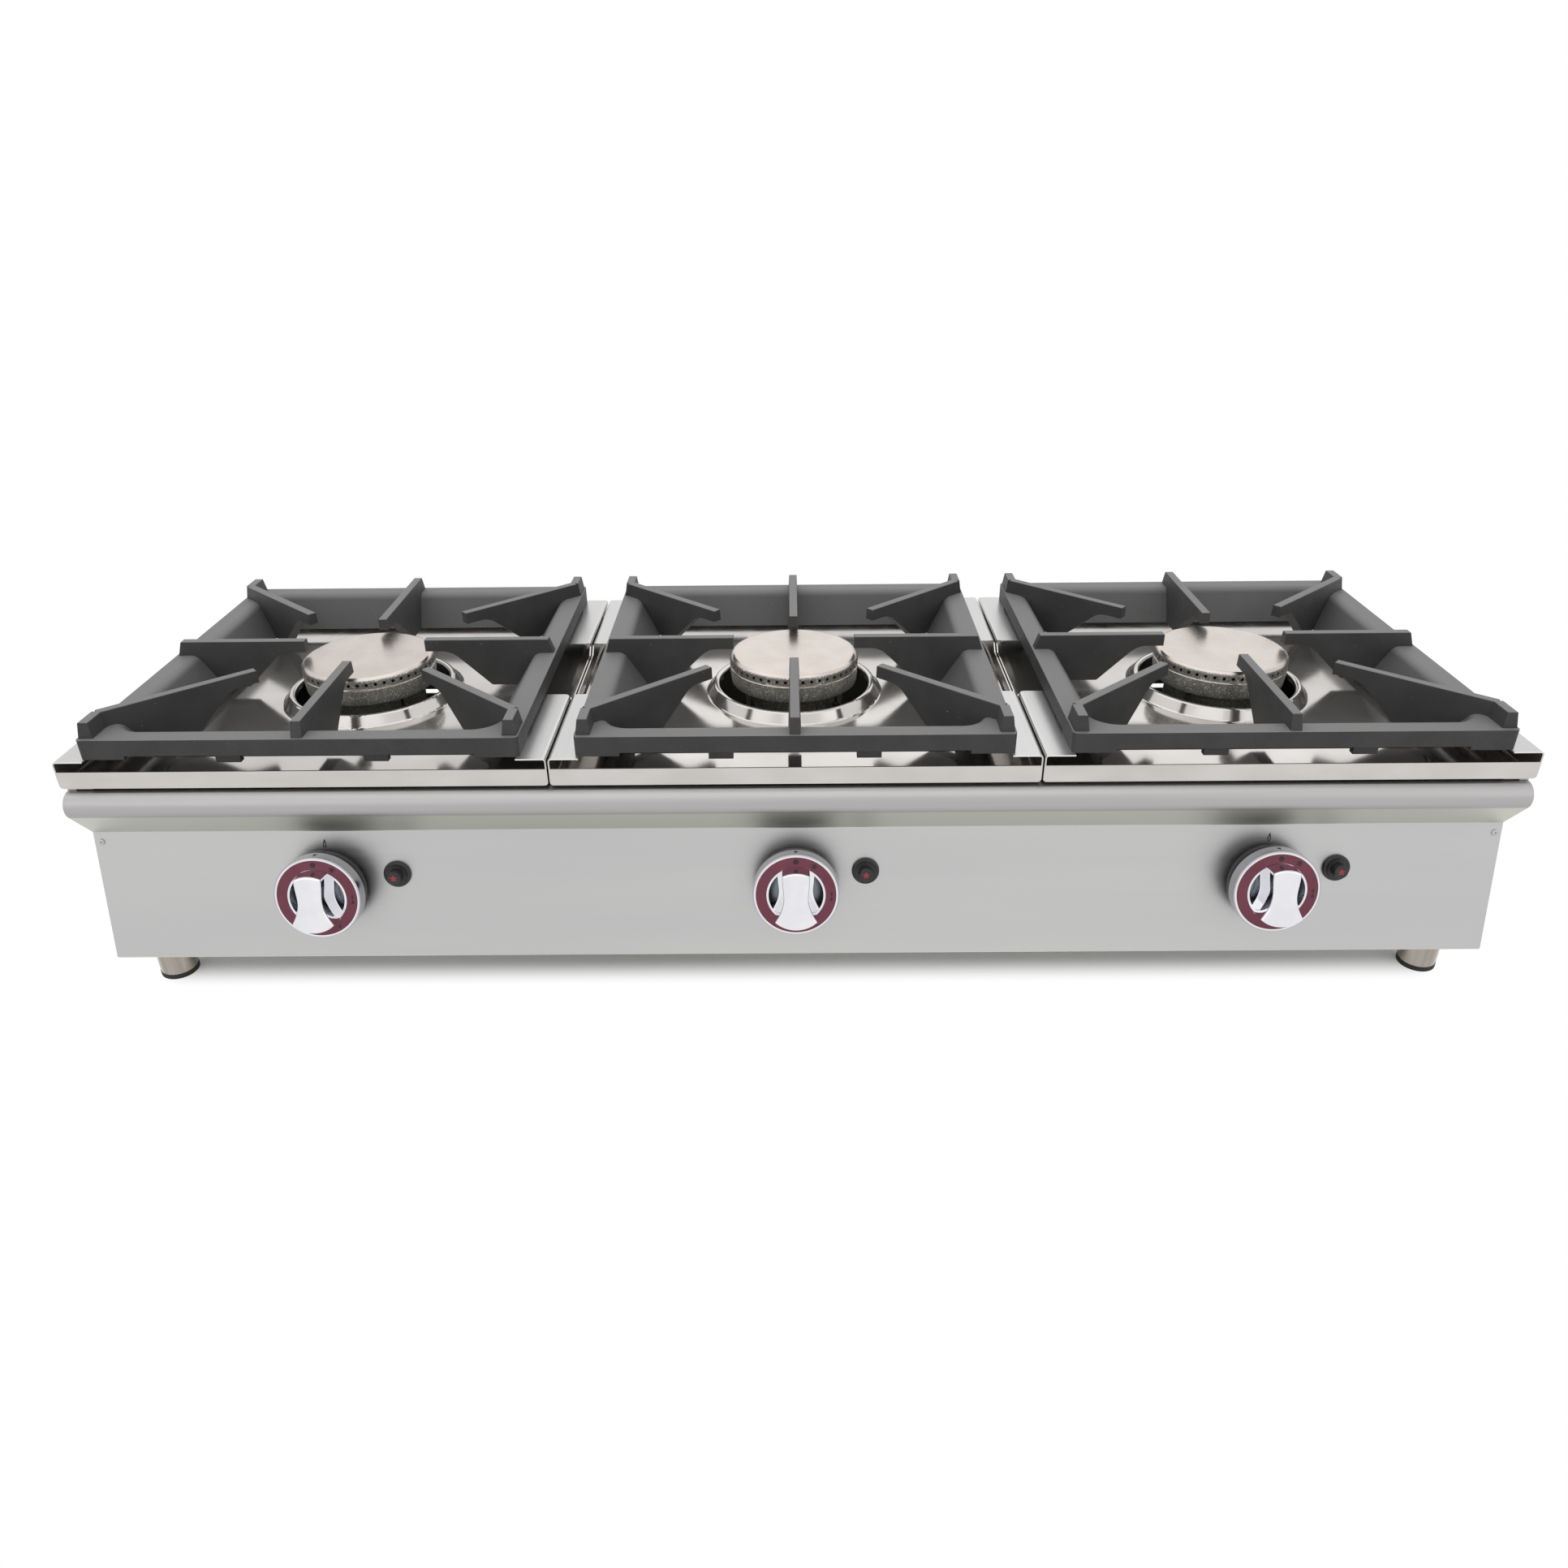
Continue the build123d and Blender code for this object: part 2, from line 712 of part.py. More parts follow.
def grip_shape(margin, reach):
    """The bar seen along the knob's axis: two flanks moved out by a margin, and a circle that ends them."""
    top = Vector(grip_top_width / 2 + margin, top_y)
    foot = Vector(grip_foot_width / 2, foot_y) + Vector(-foot_run.Y, foot_run.X) * margin
    far_top = top + Vector(0, knob_radius)
    far_foot = foot + foot_run * knob_radius
    with BuildSketch() as shape:
        with BuildLine():
            Polyline((0, far_top.Y), far_top, top)
            Spline(top, (grip_waist_width / 2 + margin, 0), foot, tangents=((0, -1), foot_run))
            Polyline(foot, far_foot, (0, far_foot.Y))
            mirror(about=Plane.YZ)
        make_face()
        Circle(reach, mode=Mode.INTERSECT)
    return shape.sketch


with BuildSketch(knob_plane.offset(pocket_floor)) as grip_outline:
    add(grip_shape(0, grip_reach))
with BuildSketch(knob_plane.offset(pocket_floor)) as shoulder_outline:
    add(grip_shape(shoulder_width, pocket_radius + easy))
with BuildPart(knob_plane) as knob_body:
    shaft(knob_radius, knob_base, knob_front)
    fillet(knob_body.edges().group_by(knob_axis)[-1], knob_rounding)
    with BuildSketch(knob_plane.offset(knob_front)):
        Circle(knob_radius - knob_rim + running)
        Circle(dial_inner_radius - running, mode=Mode.SUBTRACT)
    extrude(amount=-dial_thickness, mode=Mode.SUBTRACT)
    shaft(pocket_radius, pocket_floor, knob_front, Mode.SUBTRACT)
    extrude(shoulder_outline.sketch, amount=knob_front - shoulder_drop - pocket_floor)
    fillet(knob_body.edges().filter_by(GeomType.BSPLINE).group_by(knob_axis)[-1], shoulder_rounding)
    extrude(grip_outline.sketch, amount=grip_front - pocket_floor)
    fillet(knob_body.faces().sort_by(knob_axis)[-1].edges(), grip_edge)
    extrude(flatted_bore(knob_base), amount=spindle_reach + easy, mode=Mode.SUBTRACT)
save_copies(knob_body.part, "knob_body")

with BuildPart() as knob_dial:
    with BuildSketch(knob_plane.offset(knob_front)):
        Circle(knob_radius - knob_rim)
        Circle(dial_inner_radius, mode=Mode.SUBTRACT)
        add(grip_shape(easy, grip_reach + easy), mode=Mode.SUBTRACT)
    extrude(amount=-dial_thickness)
save_copies(knob_dial.part, "knob_dial")

with BuildPart(knob_plane) as knob_skirt:
    shaft(knob_skirt_radius, knob_gap, knob_base)
    shaft(knob_skirt_radius - skirt_shell, knob_gap, knob_base - skirt_shell, Mode.SUBTRACT)
    shaft(hub_radius, knob_gap, knob_base)
    extrude(flatted_bore(knob_gap), amount=knob_skirt_height, mode=Mode.SUBTRACT)
save_copies(knob_skirt.part, "knob_skirt")

# Piezo igniters and their buttons
with BuildPart(igniter_plane) as igniter_body:
    shaft(bezel_radius, 0, bezel_height)
    fillet(igniter_body.edges().group_by(Axis(igniter_spot, panel_normal))[-1], bezel_collar_height)
    shaft(bezel_collar_radius, bezel_height, bezel_height + bezel_collar_height)
    shaft(barrel_radius, -barrel_length, 0)
    shaft(barrel_radius - 2 * easy, -(barrel_length + igniter_rear_length), -barrel_length)
    shaft(terminal_radius, -(barrel_length + igniter_rear_length + terminal_length),
          -(barrel_length + igniter_rear_length))
    shaft(button_radius + running, -(button_depth + button_travel + easy),
          bezel_height + bezel_collar_height, Mode.SUBTRACT)
save_copies(igniter_body.part, "igniter_body")

with BuildPart(igniter_plane) as igniter_button:
    shaft(button_radius, -button_depth, button_rise)
    fillet(igniter_button.edges().group_by(Axis(igniter_spot, panel_normal))[-1], button_rounding)
save_copies(igniter_button.part, "igniter_button")

# Gas manifold: a tube behind the panel that bends back to the inlet
hex_front = rear_y - sheet - inlet_hex_length
manifold_start = Vector(module_x[0] - manifold_overrun, manifold_spot.Y, manifold_spot.Z)
with BuildPart() as gas_manifold:
    with BuildLine() as manifold_route:
        FilletPolyline(
            manifold_start,
            (inlet_offset, manifold_spot.Y, manifold_spot.Z),
            (inlet_offset, hex_front, manifold_spot.Z),
            radius=manifold_bend,
        )
    with BuildSketch(Plane(origin=manifold_start, z_dir=(1, 0, 0))):
        Circle(manifold_radius)
        Circle(manifold_bore, mode=Mode.SUBTRACT)
    sweep()
    with BuildSketch(Plane(origin=manifold_start, z_dir=(1, 0, 0))):
        Circle(manifold_radius)
    extrude(amount=manifold_plug)
    for x in module_x:
        with Locations(Plane(origin=(x, manifold_spot.Y, manifold_spot.Z), z_dir=panel_up)):
            Cylinder(port_feed, 2 * manifold_radius, align=(Align.CENTER, Align.CENTER, Align.MIN),
                     mode=Mode.SUBTRACT)
save(gas_manifold.part, "gas_manifold")

inlet_plane = Plane(origin=(inlet_offset, hex_front, manifold_spot.Z), x_dir=(1, 0, 0), z_dir=(0, 1, 0))
with BuildPart(inlet_plane) as gas_inlet:
    with BuildSketch(inlet_plane):
        RegularPolygon(inlet_hex / 2, 6, major_radius=False)
    extrude(amount=inlet_hex_length)
    shaft(inlet_radius + inlet_neck, inlet_hex_length, inlet_hex_length + sheet + inlet_neck_show)
    shaft(inlet_radius, inlet_hex_length, inlet_hex_length + sheet + inlet_stub)
    chamfer(gas_inlet.edges().group_by(Axis.Y)[-1], inlet_chamfer)
    shaft(inlet_bore, 0, inlet_hex_length + sheet + inlet_stub, Mode.SUBTRACT)
save(gas_inlet.part, "gas_inlet")

# Gas pipes from the valves up to the injectors
venturi_z = flange_z - venturi_drop
pipe_start = knob_plane.from_local_coords(Vector(0, valve_body_height / 2 + boss_height, -valve_middle))
pipe_turn = pipe_start + panel_up * pipe_start_run
elbow_z = venturi_z - elbow_height / 2
pipe_route = [pipe_start, pipe_turn, Vector(0, pipe_turn.Y, elbow_z)]
with BuildPart() as gas_pipe:
    add(tube_along(pipe_route, pipe_radius))
    add(tube_along(pipe_route, pipe_bore), mode=Mode.SUBTRACT)
save_group(gas_pipe.part, "gas_pipes")

nozzle_start = pipe_turn.Y + elbow_size / 2
mouth_y = nozzle_start + nozzle_length + nozzle_gap
venturi_length = module_y - mouth_y
injector_plane = Plane(origin=(0, nozzle_start, venturi_z), x_dir=(1, 0, 0), z_dir=(0, 1, 0))
with BuildPart(injector_plane) as injector:
    with Locations((0, 0, -elbow_size / 2)):
        Box(elbow_size, elbow_height, elbow_size)
    shaft(nozzle_radius, 0, nozzle_length)
    shaft(nozzle_bore, -elbow_size / 2, nozzle_length, Mode.SUBTRACT)
    chamfer(injector.edges().group_by(Axis.Y)[-1].sort_by(SortBy.RADIUS)[-1], nozzle_bore)
save_group(injector.part, "injectors")

# Burner bodies: head ring, cup, venturi, ears on the rails and lugs for the two probes
head_bottom = head_top - head_height
burner_axis = Axis((0, module_y, 0), (0, 0, 1))
burner_section_plane = Plane.XZ.offset(-module_y)
spigot_radius = cap_radius - cap_wall
lug_top = flange_z - lug_drop
probe_x = probe_spread * sin(radians(probe_azimuth))
probe_y = module_y - probe_spread * cos(radians(probe_azimuth))
burner_outline = [
    (0, burner_z),
    (cup_radius, burner_z),
    (cup_radius, head_bottom),
    (head_radius - head_taper, head_bottom),
    (head_radius, head_top),
    (spigot_radius + easy, head_top),
    (spigot_radius + easy, head_top - 2 * cap_spigot),
    (cup_radius - cup_wall, head_top - 2 * cap_spigot),
    (cup_radius - cup_wall, burner_z + cup_wall),
    (0, burner_z + cup_wall),
]
with BuildPart() as burner_body:
    with BuildSketch(burner_section_plane):
        with BuildLine():
            FilletPolyline(*burner_outline, radius=[0, 3, 4, 1, 1, 0, 0, 0, 3, 0], close=True)
        make_face()
    revolve(axis=burner_axis)
    with BuildSketch(Plane.XZ.offset(-mouth_y)):
        with Locations((0, venturi_z)):
            Circle(venturi_radius)
    extrude(amount=-(venturi_length - cup_radius + cup_wall))
    with BuildSketch(Plane.XZ.offset(-mouth_y)):
        with Locations((0, venturi_z)):
            Circle(venturi_mouth_radius)
    extrude(amount=-venturi_mouth_length)
    with BuildSketch(Plane.XY.offset(burner_z)):
        with Locations(*[(side * ear_spread, module_y) for side in (-1, 1)]):
            RectangleRounded(ear_width, ear_length, ear_width / 4)
    extrude(amount=ear_thickness)
    for azimuth in (-probe_azimuth, probe_azimuth - 180):
        with BuildSketch(Plane(origin=(0, module_y, lug_top)).rotated((0, 0, azimuth))):
            with Locations((probe_spread, 0)):
                Circle(lug_radius)
            with Locations((cup_radius - cup_wall / 2, 0)):
                Rectangle(probe_spread - cup_radius + cup_wall / 2, 2 * lug_radius,
                          align=(Align.MIN, Align.CENTER))
        extrude(amount=-lug_thickness)
    with BuildSketch(Plane.XZ.offset(-mouth_y)):
        with Locations((0, venturi_z)):
            Circle(venturi_bore)
    extrude(amount=-venturi_length, mode=Mode.SUBTRACT)
    chamfer(burner_body.edges().group_by(Axis.Y)[0].sort_by(SortBy.RADIUS)[0], mouth_chamfer)
    with BuildSketch(Plane.XY.offset(burner_z)):
        with Locations(*[(x, y) for x, y in burner_screw_spots if abs(x) < module_pitch / 2]):
            Circle(screw_radius + running)
    extrude(amount=2 * ear_thickness, mode=Mode.SUBTRACT)
    with BuildSketch(Plane.XY.offset(lug_top)):
        with Locations((probe_x, probe_y)):
            Circle(electrode_radius + running)
        with Locations((-probe_x, probe_y)):
            Circle(thermocouple_radius + running)
    extrude(amount=-lug_thickness, mode=Mode.SUBTRACT)
save_copies(burner_body.part, "burner_body")

# Burner caps: a flat plate, a skirt with ports and a spigot inside the head ring
cap_z = flange_z + cap_top
cap_outline = [
    (0, cap_z),
    (cap_radius, cap_z),
    (cap_radius, head_top),
    (spigot_radius, head_top),
    (spigot_radius, head_top - cap_spigot),
    (spigot_radius - cap_spigot_wall, head_top - cap_spigot),
    (spigot_radius - cap_spigot_wall, cap_z - cap_plate),
    (0, cap_z - cap_plate),
]
port_run = 2 * (cap_wall + cap_spigot_wall)
with BuildPart() as burner_cap:
    with BuildSketch(burner_section_plane):
        with BuildLine():
            cap_bends = [0, cap_rounding, cap_lip_rounding, 0, 0, 0, 0, 0]
            FilletPolyline(*cap_outline, radius=cap_bends, close=True)
        make_face()
    revolve(axis=burner_axis)
    with Locations((0, module_y, head_top + port_rise)):
        with PolarLocations(cap_radius - cap_wall / 2, port_count):
            Cylinder(port_radius, port_run, rotation=(0, 90, 0), mode=Mode.SUBTRACT)
save_copies(burner_cap.part, "burner_cap")

# Ignition electrodes, with their leads to the igniters
probe_top = flange_z - probe_top_drop
electrode_end = probe_top - electrode_tip_length - electrode_length
with BuildPart(Plane(origin=(probe_x, probe_y, 0))) as electrode:
    shaft(electrode_radius, electrode_end, probe_top - electrode_tip_length)
    shaft(probe_collar_radius, lug_top, lug_top + probe_collar_height)
    shaft(electrode_tip_radius, probe_top - electrode_tip_length, probe_top)
save_group(electrode.part, "electrodes")

terminal_end = barrel_length + igniter_rear_length + terminal_length
lead_route = [
    (probe_x, probe_y, electrode_end),
    (probe_x, probe_y, electrode_end - lead_drop),
    igniter_spot - panel_normal * (terminal_end + lead_run),
    igniter_spot - panel_normal * terminal_end,
]
save_group(tube_along(lead_route, lead_radius), "ignition_leads")

# Thermocouples, with their capillaries to the magnets of the valves
thermocouple_end = probe_top - thermocouple_length
magnet_end = valve_back + magnet_length
capillary_route = [
    (-probe_x, probe_y, thermocouple_end),
    (-probe_x, probe_y, thermocouple_end - lead_drop),
    knob_plane.origin - panel_normal * (magnet_end + capillary_nut_length + lead_run),
    knob_plane.origin - panel_normal * (magnet_end + capillary_nut_length),
]
with BuildPart() as thermocouple:
    add(tube_along(capillary_route, capillary_radius))
    with BuildSketch(Plane(origin=(-probe_x, probe_y, thermocouple_end))):
        Circle(thermocouple_radius)
    extrude(amount=thermocouple_length)
    with BuildSketch(Plane(origin=(-probe_x, probe_y, lug_top))):
        Circle(probe_collar_radius)
    extrude(amount=probe_collar_height)
    with BuildSketch(knob_plane.offset(-magnet_end)):
        RegularPolygon(capillary_nut_radius, 6)
    extrude(amount=-capillary_nut_length)
save_group(thermocouple.part, "thermocouples")

# Drip trays: a pan with low walls, a collar round the burner, and flanges at both ends of each side
half_tray = tray_width / 2
half_depth = tray_depth / 2
tray_section = bent_strip(
    burner_section_plane,
    [
        (tray_flange - half_tray, flange_z),
        (-half_tray, flange_z),
        (-half_tray, seat_z),
        (half_tray, seat_z),
        (half_tray, flange_z),
        (half_tray - tray_flange, flange_z),
    ],
    [tray_bend, tray_bend, tray_bend, tray_bend],
    tray_sheet,
    Side.LEFT,
)
collar_foot = collar_hole_radius + 2 * collar_lip + collar_skirt
collar_top = seat_z + collar_rise
with BuildSketch(burner_section_plane) as collar_section:
    with BuildLine():
        FilletPolyline(
            (collar_hole_radius, collar_top - 2 * collar_lip),
            (collar_hole_radius, collar_top),
            (collar_hole_radius + 2 * collar_lip, collar_top),
            (collar_foot - collar_lip, seat_z + tray_sheet),
            (collar_foot + collar_lip, seat_z + tray_sheet),
            radius=[collar_lip, collar_lip, collar_lip],
        )
        offset(amount=tray_sheet, side=Side.RIGHT)
    make_face()
half_notch = half_depth - tray_flange_length
low_z = seat_z + tray_low_wall
corner_spots = [(x, y) for x in (-1, 1) for y in (-1, 1)]
with BuildPart() as drip_tray:
    extrude(tray_section, amount=half_depth, both=True)
    with BuildSketch(Plane.YZ):
        with BuildLine():
            Polyline(
                (module_y - half_notch, flange_z + tray_bend),
                (module_y - half_notch, flange_z - tray_bend),
                (module_y - half_notch + notch_slope, low_z),
                (module_y + half_notch - notch_slope, low_z),
                (module_y + half_notch, flange_z - tray_bend),
                (module_y + half_notch, flange_z + tray_bend),
                close=True,
            )
        make_face()
    extrude(amount=tray_width, both=True, mode=Mode.SUBTRACT)
    with BuildSketch(Plane.XY.offset(flange_z)):
        with Locations(*[(x * half_tray, module_y + y * half_notch) for x, y in corner_spots]):
            Rectangle(2 * tray_corner, 2 * tray_corner)
        with Locations(*[(x * (half_tray - tray_corner), module_y + y * (half_notch + tray_corner))
                         for x, y in corner_spots]):
            Circle(tray_corner, mode=Mode.SUBTRACT)
    extrude(amount=-tray_bend, mode=Mode.SUBTRACT)
    with BuildSketch(Plane.XZ.offset(half_depth - module_y)) as low_wall:
        with BuildLine():
            FilletPolyline(
                (-half_tray, low_z),
                (-half_tray, seat_z),
                (half_tray, seat_z),
                (half_tray, low_z),
                radius=[0, tray_bend, tray_bend, 0],
                close=True,
            )
        make_face()
    extrude(amount=-tray_sheet)
    extrude(low_wall.sketch.moved(Location((0, tray_depth, 0))), amount=tray_sheet)
    with BuildSketch(Plane.XY.offset(seat_z)):
        with Locations((0, module_y)):
            Circle(collar_foot)
    extrude(amount=2 * tray_sheet, mode=Mode.SUBTRACT)
    revolve(collar_section.sketch, axis=burner_axis)
save_copies(drip_tray.part, "drip_tray")

# Pan supports: a rail with an outer lip, a skirt that slopes inward, and eight fingers
support_width = tray_width - 2 * flange_show
support_depth = tray_depth - 2 * support_setback
rail_z = flange_z + rail_top
skirt_height = rail_top - skirt_bottom
skirt_taper = degrees(atan(skirt_run / skirt_height))
skirt_side = skirt_wall / cos(radians(skirt_taper))
pocket_width = support_width - 2 * rail_width
pocket_length = support_depth - 2 * rail_width
post_x = support_width / 2 - diagonal_inset
post_y = support_depth / 2 - post_setback - post_length


def finger(root, direction, tip, end, skirt):
    """A rib with drafted sides, along a direction from its root, between a tip and an end."""
    side_view = Plane(origin=root, x_dir=direction, z_dir=direction.cross(Vector(0, 0, 1)))
    top_view = Plane(origin=root + Vector(0, 0, finger_top), x_dir=direction, z_dir=(0, 0, 1))
    run = skirt_run / max(abs(direction.X), abs(direction.Y))
    outline = [
        (tip, finger_top),
        (end, finger_top),
        (end + finger_heel, rail_top - finger_root),
        (skirt + run + finger_root, rail_top - finger_root),
        (skirt + finger_root, skirt_bottom),
        (skirt - web_reach, skirt_bottom),
        (tip + finger_neck, finger_top - finger_tip),
        (tip, finger_top - finger_tip),
    ]
    with BuildPart() as rib:
        with BuildSketch(side_view):
            with BuildLine():
                FilletPolyline(*outline, radius=[0, 0, 0, 0, 0, 3, neck_radius, 0], close=True)
            make_face()
        extrude(amount=2 * finger_width, both=True)
        with BuildSketch(top_view):
            with Locations(((tip + end) / 2, 0)):
                Rectangle(end - tip + 2 * finger_heel, finger_width)
        extrude(amount=skirt_bottom - finger_top, taper=-finger_draft, mode=Mode.INTERSECT)
        fillet(rib.faces().sort_by(Axis.Z)[-1].edges(), finger_rounding)
    return rib.part


def corner_post(x, y):
    """A post with drafted sides, on the rail where a diagonal finger ends."""
    with BuildPart() as post:
        with BuildSketch(Plane.XY.offset(flange_z + finger_top)):
            with Locations((x * post_x, module_y + y * (post_y + post_length / 2))):
                Rectangle(finger_width, post_length)
        extrude(amount=rail_top - finger_root - finger_top, taper=-post_draft)
        fillet(post.faces().sort_by(Axis.Z)[-1].edges(), finger_rounding)
    return post.part


with BuildPart() as pan_support:
    with BuildSketch(Plane.XY.offset(rail_z)):
        with Locations((0, module_y)):
            RectangleRounded(support_width, support_depth, support_corner)
    extrude(amount=rail_underside - rail_top)
    with BuildSketch(Plane.XY.offset(rail_z - rail_plate)):
        with Locations((0, module_y)):
            Rectangle(support_width - 2 * rail_lip, support_depth - 2 * rail_lip)
    extrude(amount=rail_underside + rail_plate - rail_top, mode=Mode.SUBTRACT)
    with BuildSketch(Plane.XY.offset(rail_z)):
        with Locations((0, module_y)):
            RectangleRounded(pocket_width + 2 * skirt_side, pocket_length + 2 * skirt_side,
                             pocket_corner + skirt_side)
    extrude(amount=-skirt_height, taper=skirt_taper)
    with BuildSketch(Plane.XY.offset(rail_z)):
        with Locations((0, module_y)):
            RectangleRounded(pocket_width, pocket_length, pocket_corner)
    extrude(amount=-skirt_height, taper=skirt_taper, mode=Mode.SUBTRACT)
    fillet(pan_support.faces().sort_by(Axis.Z)[-1].inner_wires()[0].edges(), rail_roll)
    with BuildSketch(Plane.XY.offset(flange_z)):
        with Locations((0, module_y)):
            RectangleRounded(support_width, support_depth, support_corner)
            Rectangle(support_width - 2 * rail_lip, support_depth - 2 * rail_lip, mode=Mode.SUBTRACT)
            Rectangle(support_width - 2 * foot_length, support_depth, mode=Mode.SUBTRACT)
            Rectangle(support_width, support_depth - 2 * foot_length, mode=Mode.SUBTRACT)
    extrude(amount=rail_underside)
    with BuildSketch(Plane.XY.offset(rail_z - rail_plate)):
        with Locations((0, module_y)):
            with GridLocations(lug_spacing, support_depth - 2 * (rail_lip + finger_root), 2, 2):
                Rectangle(support_lug_width, rail_plate)
    extrude(amount=rail_underside + rail_plate - rail_top - support_lug_drop)
    for side in (-1, 1):
        add(finger(Vector(0, module_y, flange_z), Vector(side, 0, 0), side_tip_radius,
                   support_width / 2 - finger_setback, pocket_width / 2 - skirt_run))
        add(finger(Vector(0, module_y, flange_z), Vector(0, side, 0), front_tip_radius,
                   support_depth / 2 - finger_setback, pocket_length / 2 - skirt_run))
    for x, y in corner_spots:
        tip_spot = Vector(x * diagonal_tip_x, module_y + y * diagonal_tip_y, flange_z)
        post_spot = Vector(x * post_x, module_y + y * post_y, flange_z)
        along = (post_spot - tip_spot).normalized()
        add(finger(tip_spot, along, 0, (post_spot - tip_spot).length,
                   (pocket_width / 2 - skirt_run - diagonal_tip_x) / abs(along.X)))
        add(corner_post(x, y))
save_copies(pan_support.part, "pan_support")
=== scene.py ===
import json
import math

import bpy
import bmesh
import numpy as np
from mathutils import Matrix, Vector


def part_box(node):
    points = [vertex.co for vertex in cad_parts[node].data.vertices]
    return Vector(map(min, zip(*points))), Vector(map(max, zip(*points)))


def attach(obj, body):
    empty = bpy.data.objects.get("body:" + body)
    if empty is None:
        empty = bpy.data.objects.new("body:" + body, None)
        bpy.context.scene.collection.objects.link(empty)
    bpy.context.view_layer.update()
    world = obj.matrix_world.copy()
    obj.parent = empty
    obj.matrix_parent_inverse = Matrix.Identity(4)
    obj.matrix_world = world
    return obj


# A countertop gas range with three open burners: finishes, small marks, studio and camera.
# Lengths are metres, and x runs to the right, y to the back and z up. In the dictionaries of the marks and
# finishes, sizes are millimetres and turns are degrees.

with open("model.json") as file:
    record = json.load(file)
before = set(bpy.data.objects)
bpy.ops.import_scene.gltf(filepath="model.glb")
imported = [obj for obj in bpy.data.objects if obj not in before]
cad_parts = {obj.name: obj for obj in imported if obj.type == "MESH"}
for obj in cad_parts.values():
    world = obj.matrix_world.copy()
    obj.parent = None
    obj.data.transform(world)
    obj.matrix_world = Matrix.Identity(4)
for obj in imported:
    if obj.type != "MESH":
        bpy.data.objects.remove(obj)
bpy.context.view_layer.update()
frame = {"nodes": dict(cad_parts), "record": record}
scene = bpy.context.scene
scene.view_settings.view_transform = "Standard"
millimetre = 0.001
modules = ("left", "middle", "right")


def linearColour(hexText):
    # sRGB hex to the linear values that shaders use
    value = np.array([int(hexText[at:at + 2], 16) for at in (1, 3, 5)]) / 255
    linear = np.where(value <= 0.04045, value / 12.92, ((value + 0.055) / 1.055) ** 2.4)
    return (*linear.tolist(), 1.0)


def connect(tree, source, socket):
    # Links a source to an input. A node stands for its first output.
    tree.links.new(getattr(source, "outputs", [source])[0], socket)


def addNode(tree, kind, values={}, links={}):
    # Adds one node, sets its options and inputs, and links other nodes to it. Of a Mix node's inputs, 0 is
    # the share, 2 and 3 are its two numbers, and 6 and 7 its two colours.
    node = tree.nodes.new("ShaderNode" + kind)
    for name, value in values.items():
        if isinstance(name, str) and hasattr(node, name):
            setattr(node, name, value)
        else:
            node.inputs[name].default_value = value
    for name, source in links.items():
        connect(tree, source, node.inputs[name])
    return node


# Camera, at the viewing angle of the photograph

cameraValues = {
    "place": (-3.43, -1008.27, 662.06),  # mm
    "pitch": 28.64,  # degrees below the horizon
    "yaw": -0.40,
    "roll": 0.60,
    "lens": 26.61,  # mm
    "sensor": 36,  # mm wide
    "farEnd": 100,  # metres that it sees
}


def makeCamera(values):
    # The camera's own axes: ahead from pitch and yaw, then its right and up turned by the roll
    pitch, yaw, roll = (math.radians(values[name]) for name in ("pitch", "yaw", "roll"))
    flat = math.cos(pitch)
    ahead = Vector((math.sin(yaw) * flat, math.cos(yaw) * flat, -math.sin(pitch)))
    level = Vector((math.cos(yaw), -math.sin(yaw), 0))
    down = ahead.cross(level)
    right = level * math.cos(roll) + down * math.sin(roll)
    up = level * math.sin(roll) - down * math.cos(roll)
    camera = bpy.data.objects.new("camera", bpy.data.cameras.new("camera"))
    scene.collection.objects.link(camera)
    camera.data.lens = values["lens"]
    camera.data.sensor_width = values["sensor"]
    camera.data.clip_end = values["farEnd"]
    turn = Matrix((right, up, -ahead)).transposed().to_4x4()
    camera.matrix_world = Matrix.Translation(Vector(values["place"]) * millimetre) @ turn
    scene.camera = camera


makeCamera(cameraValues)
print("camera placed")


# Studio: a white surround, four large soft lamps and a pale floor. Its sizes are metres.

studioValues = {
    "surround": "#ffffff",
    "ambient": 0.55,  # light that the white room throws on the object
    "aim": (0, 0, 0.15),
    "lamps": {
        "overhead": {"place": (-0.4, -0.3, 2.6), "size": (4.4, 3.0), "power": 16},
        "frontLeft": {"place": (-1.9, -2.3, 1.5), "size": (2.4, 1.8), "power": 5},
        "frontRight": {"place": (2.1, -1.9, 1.3), "size": (1.4, 1.8), "power": 2.8},
        "rear": {"place": (0.6, 2.4, 1.9), "size": (2.8, 1.2), "power": 3.4},
    },
}
floorValues = {
    "half": 12.0, "colour": "#fafafa", "bounce": "#c8c8c8", "plain": "#ffffff",
    "lift": 0.06,  # what the board shows by itself, so that it turns white where it is lit
    "foot": (0.555, 0.135),  # half widths of the part that lies under the object, across and to the back
    "shade": 0.04,  # how far the shadow reaches out from there
}


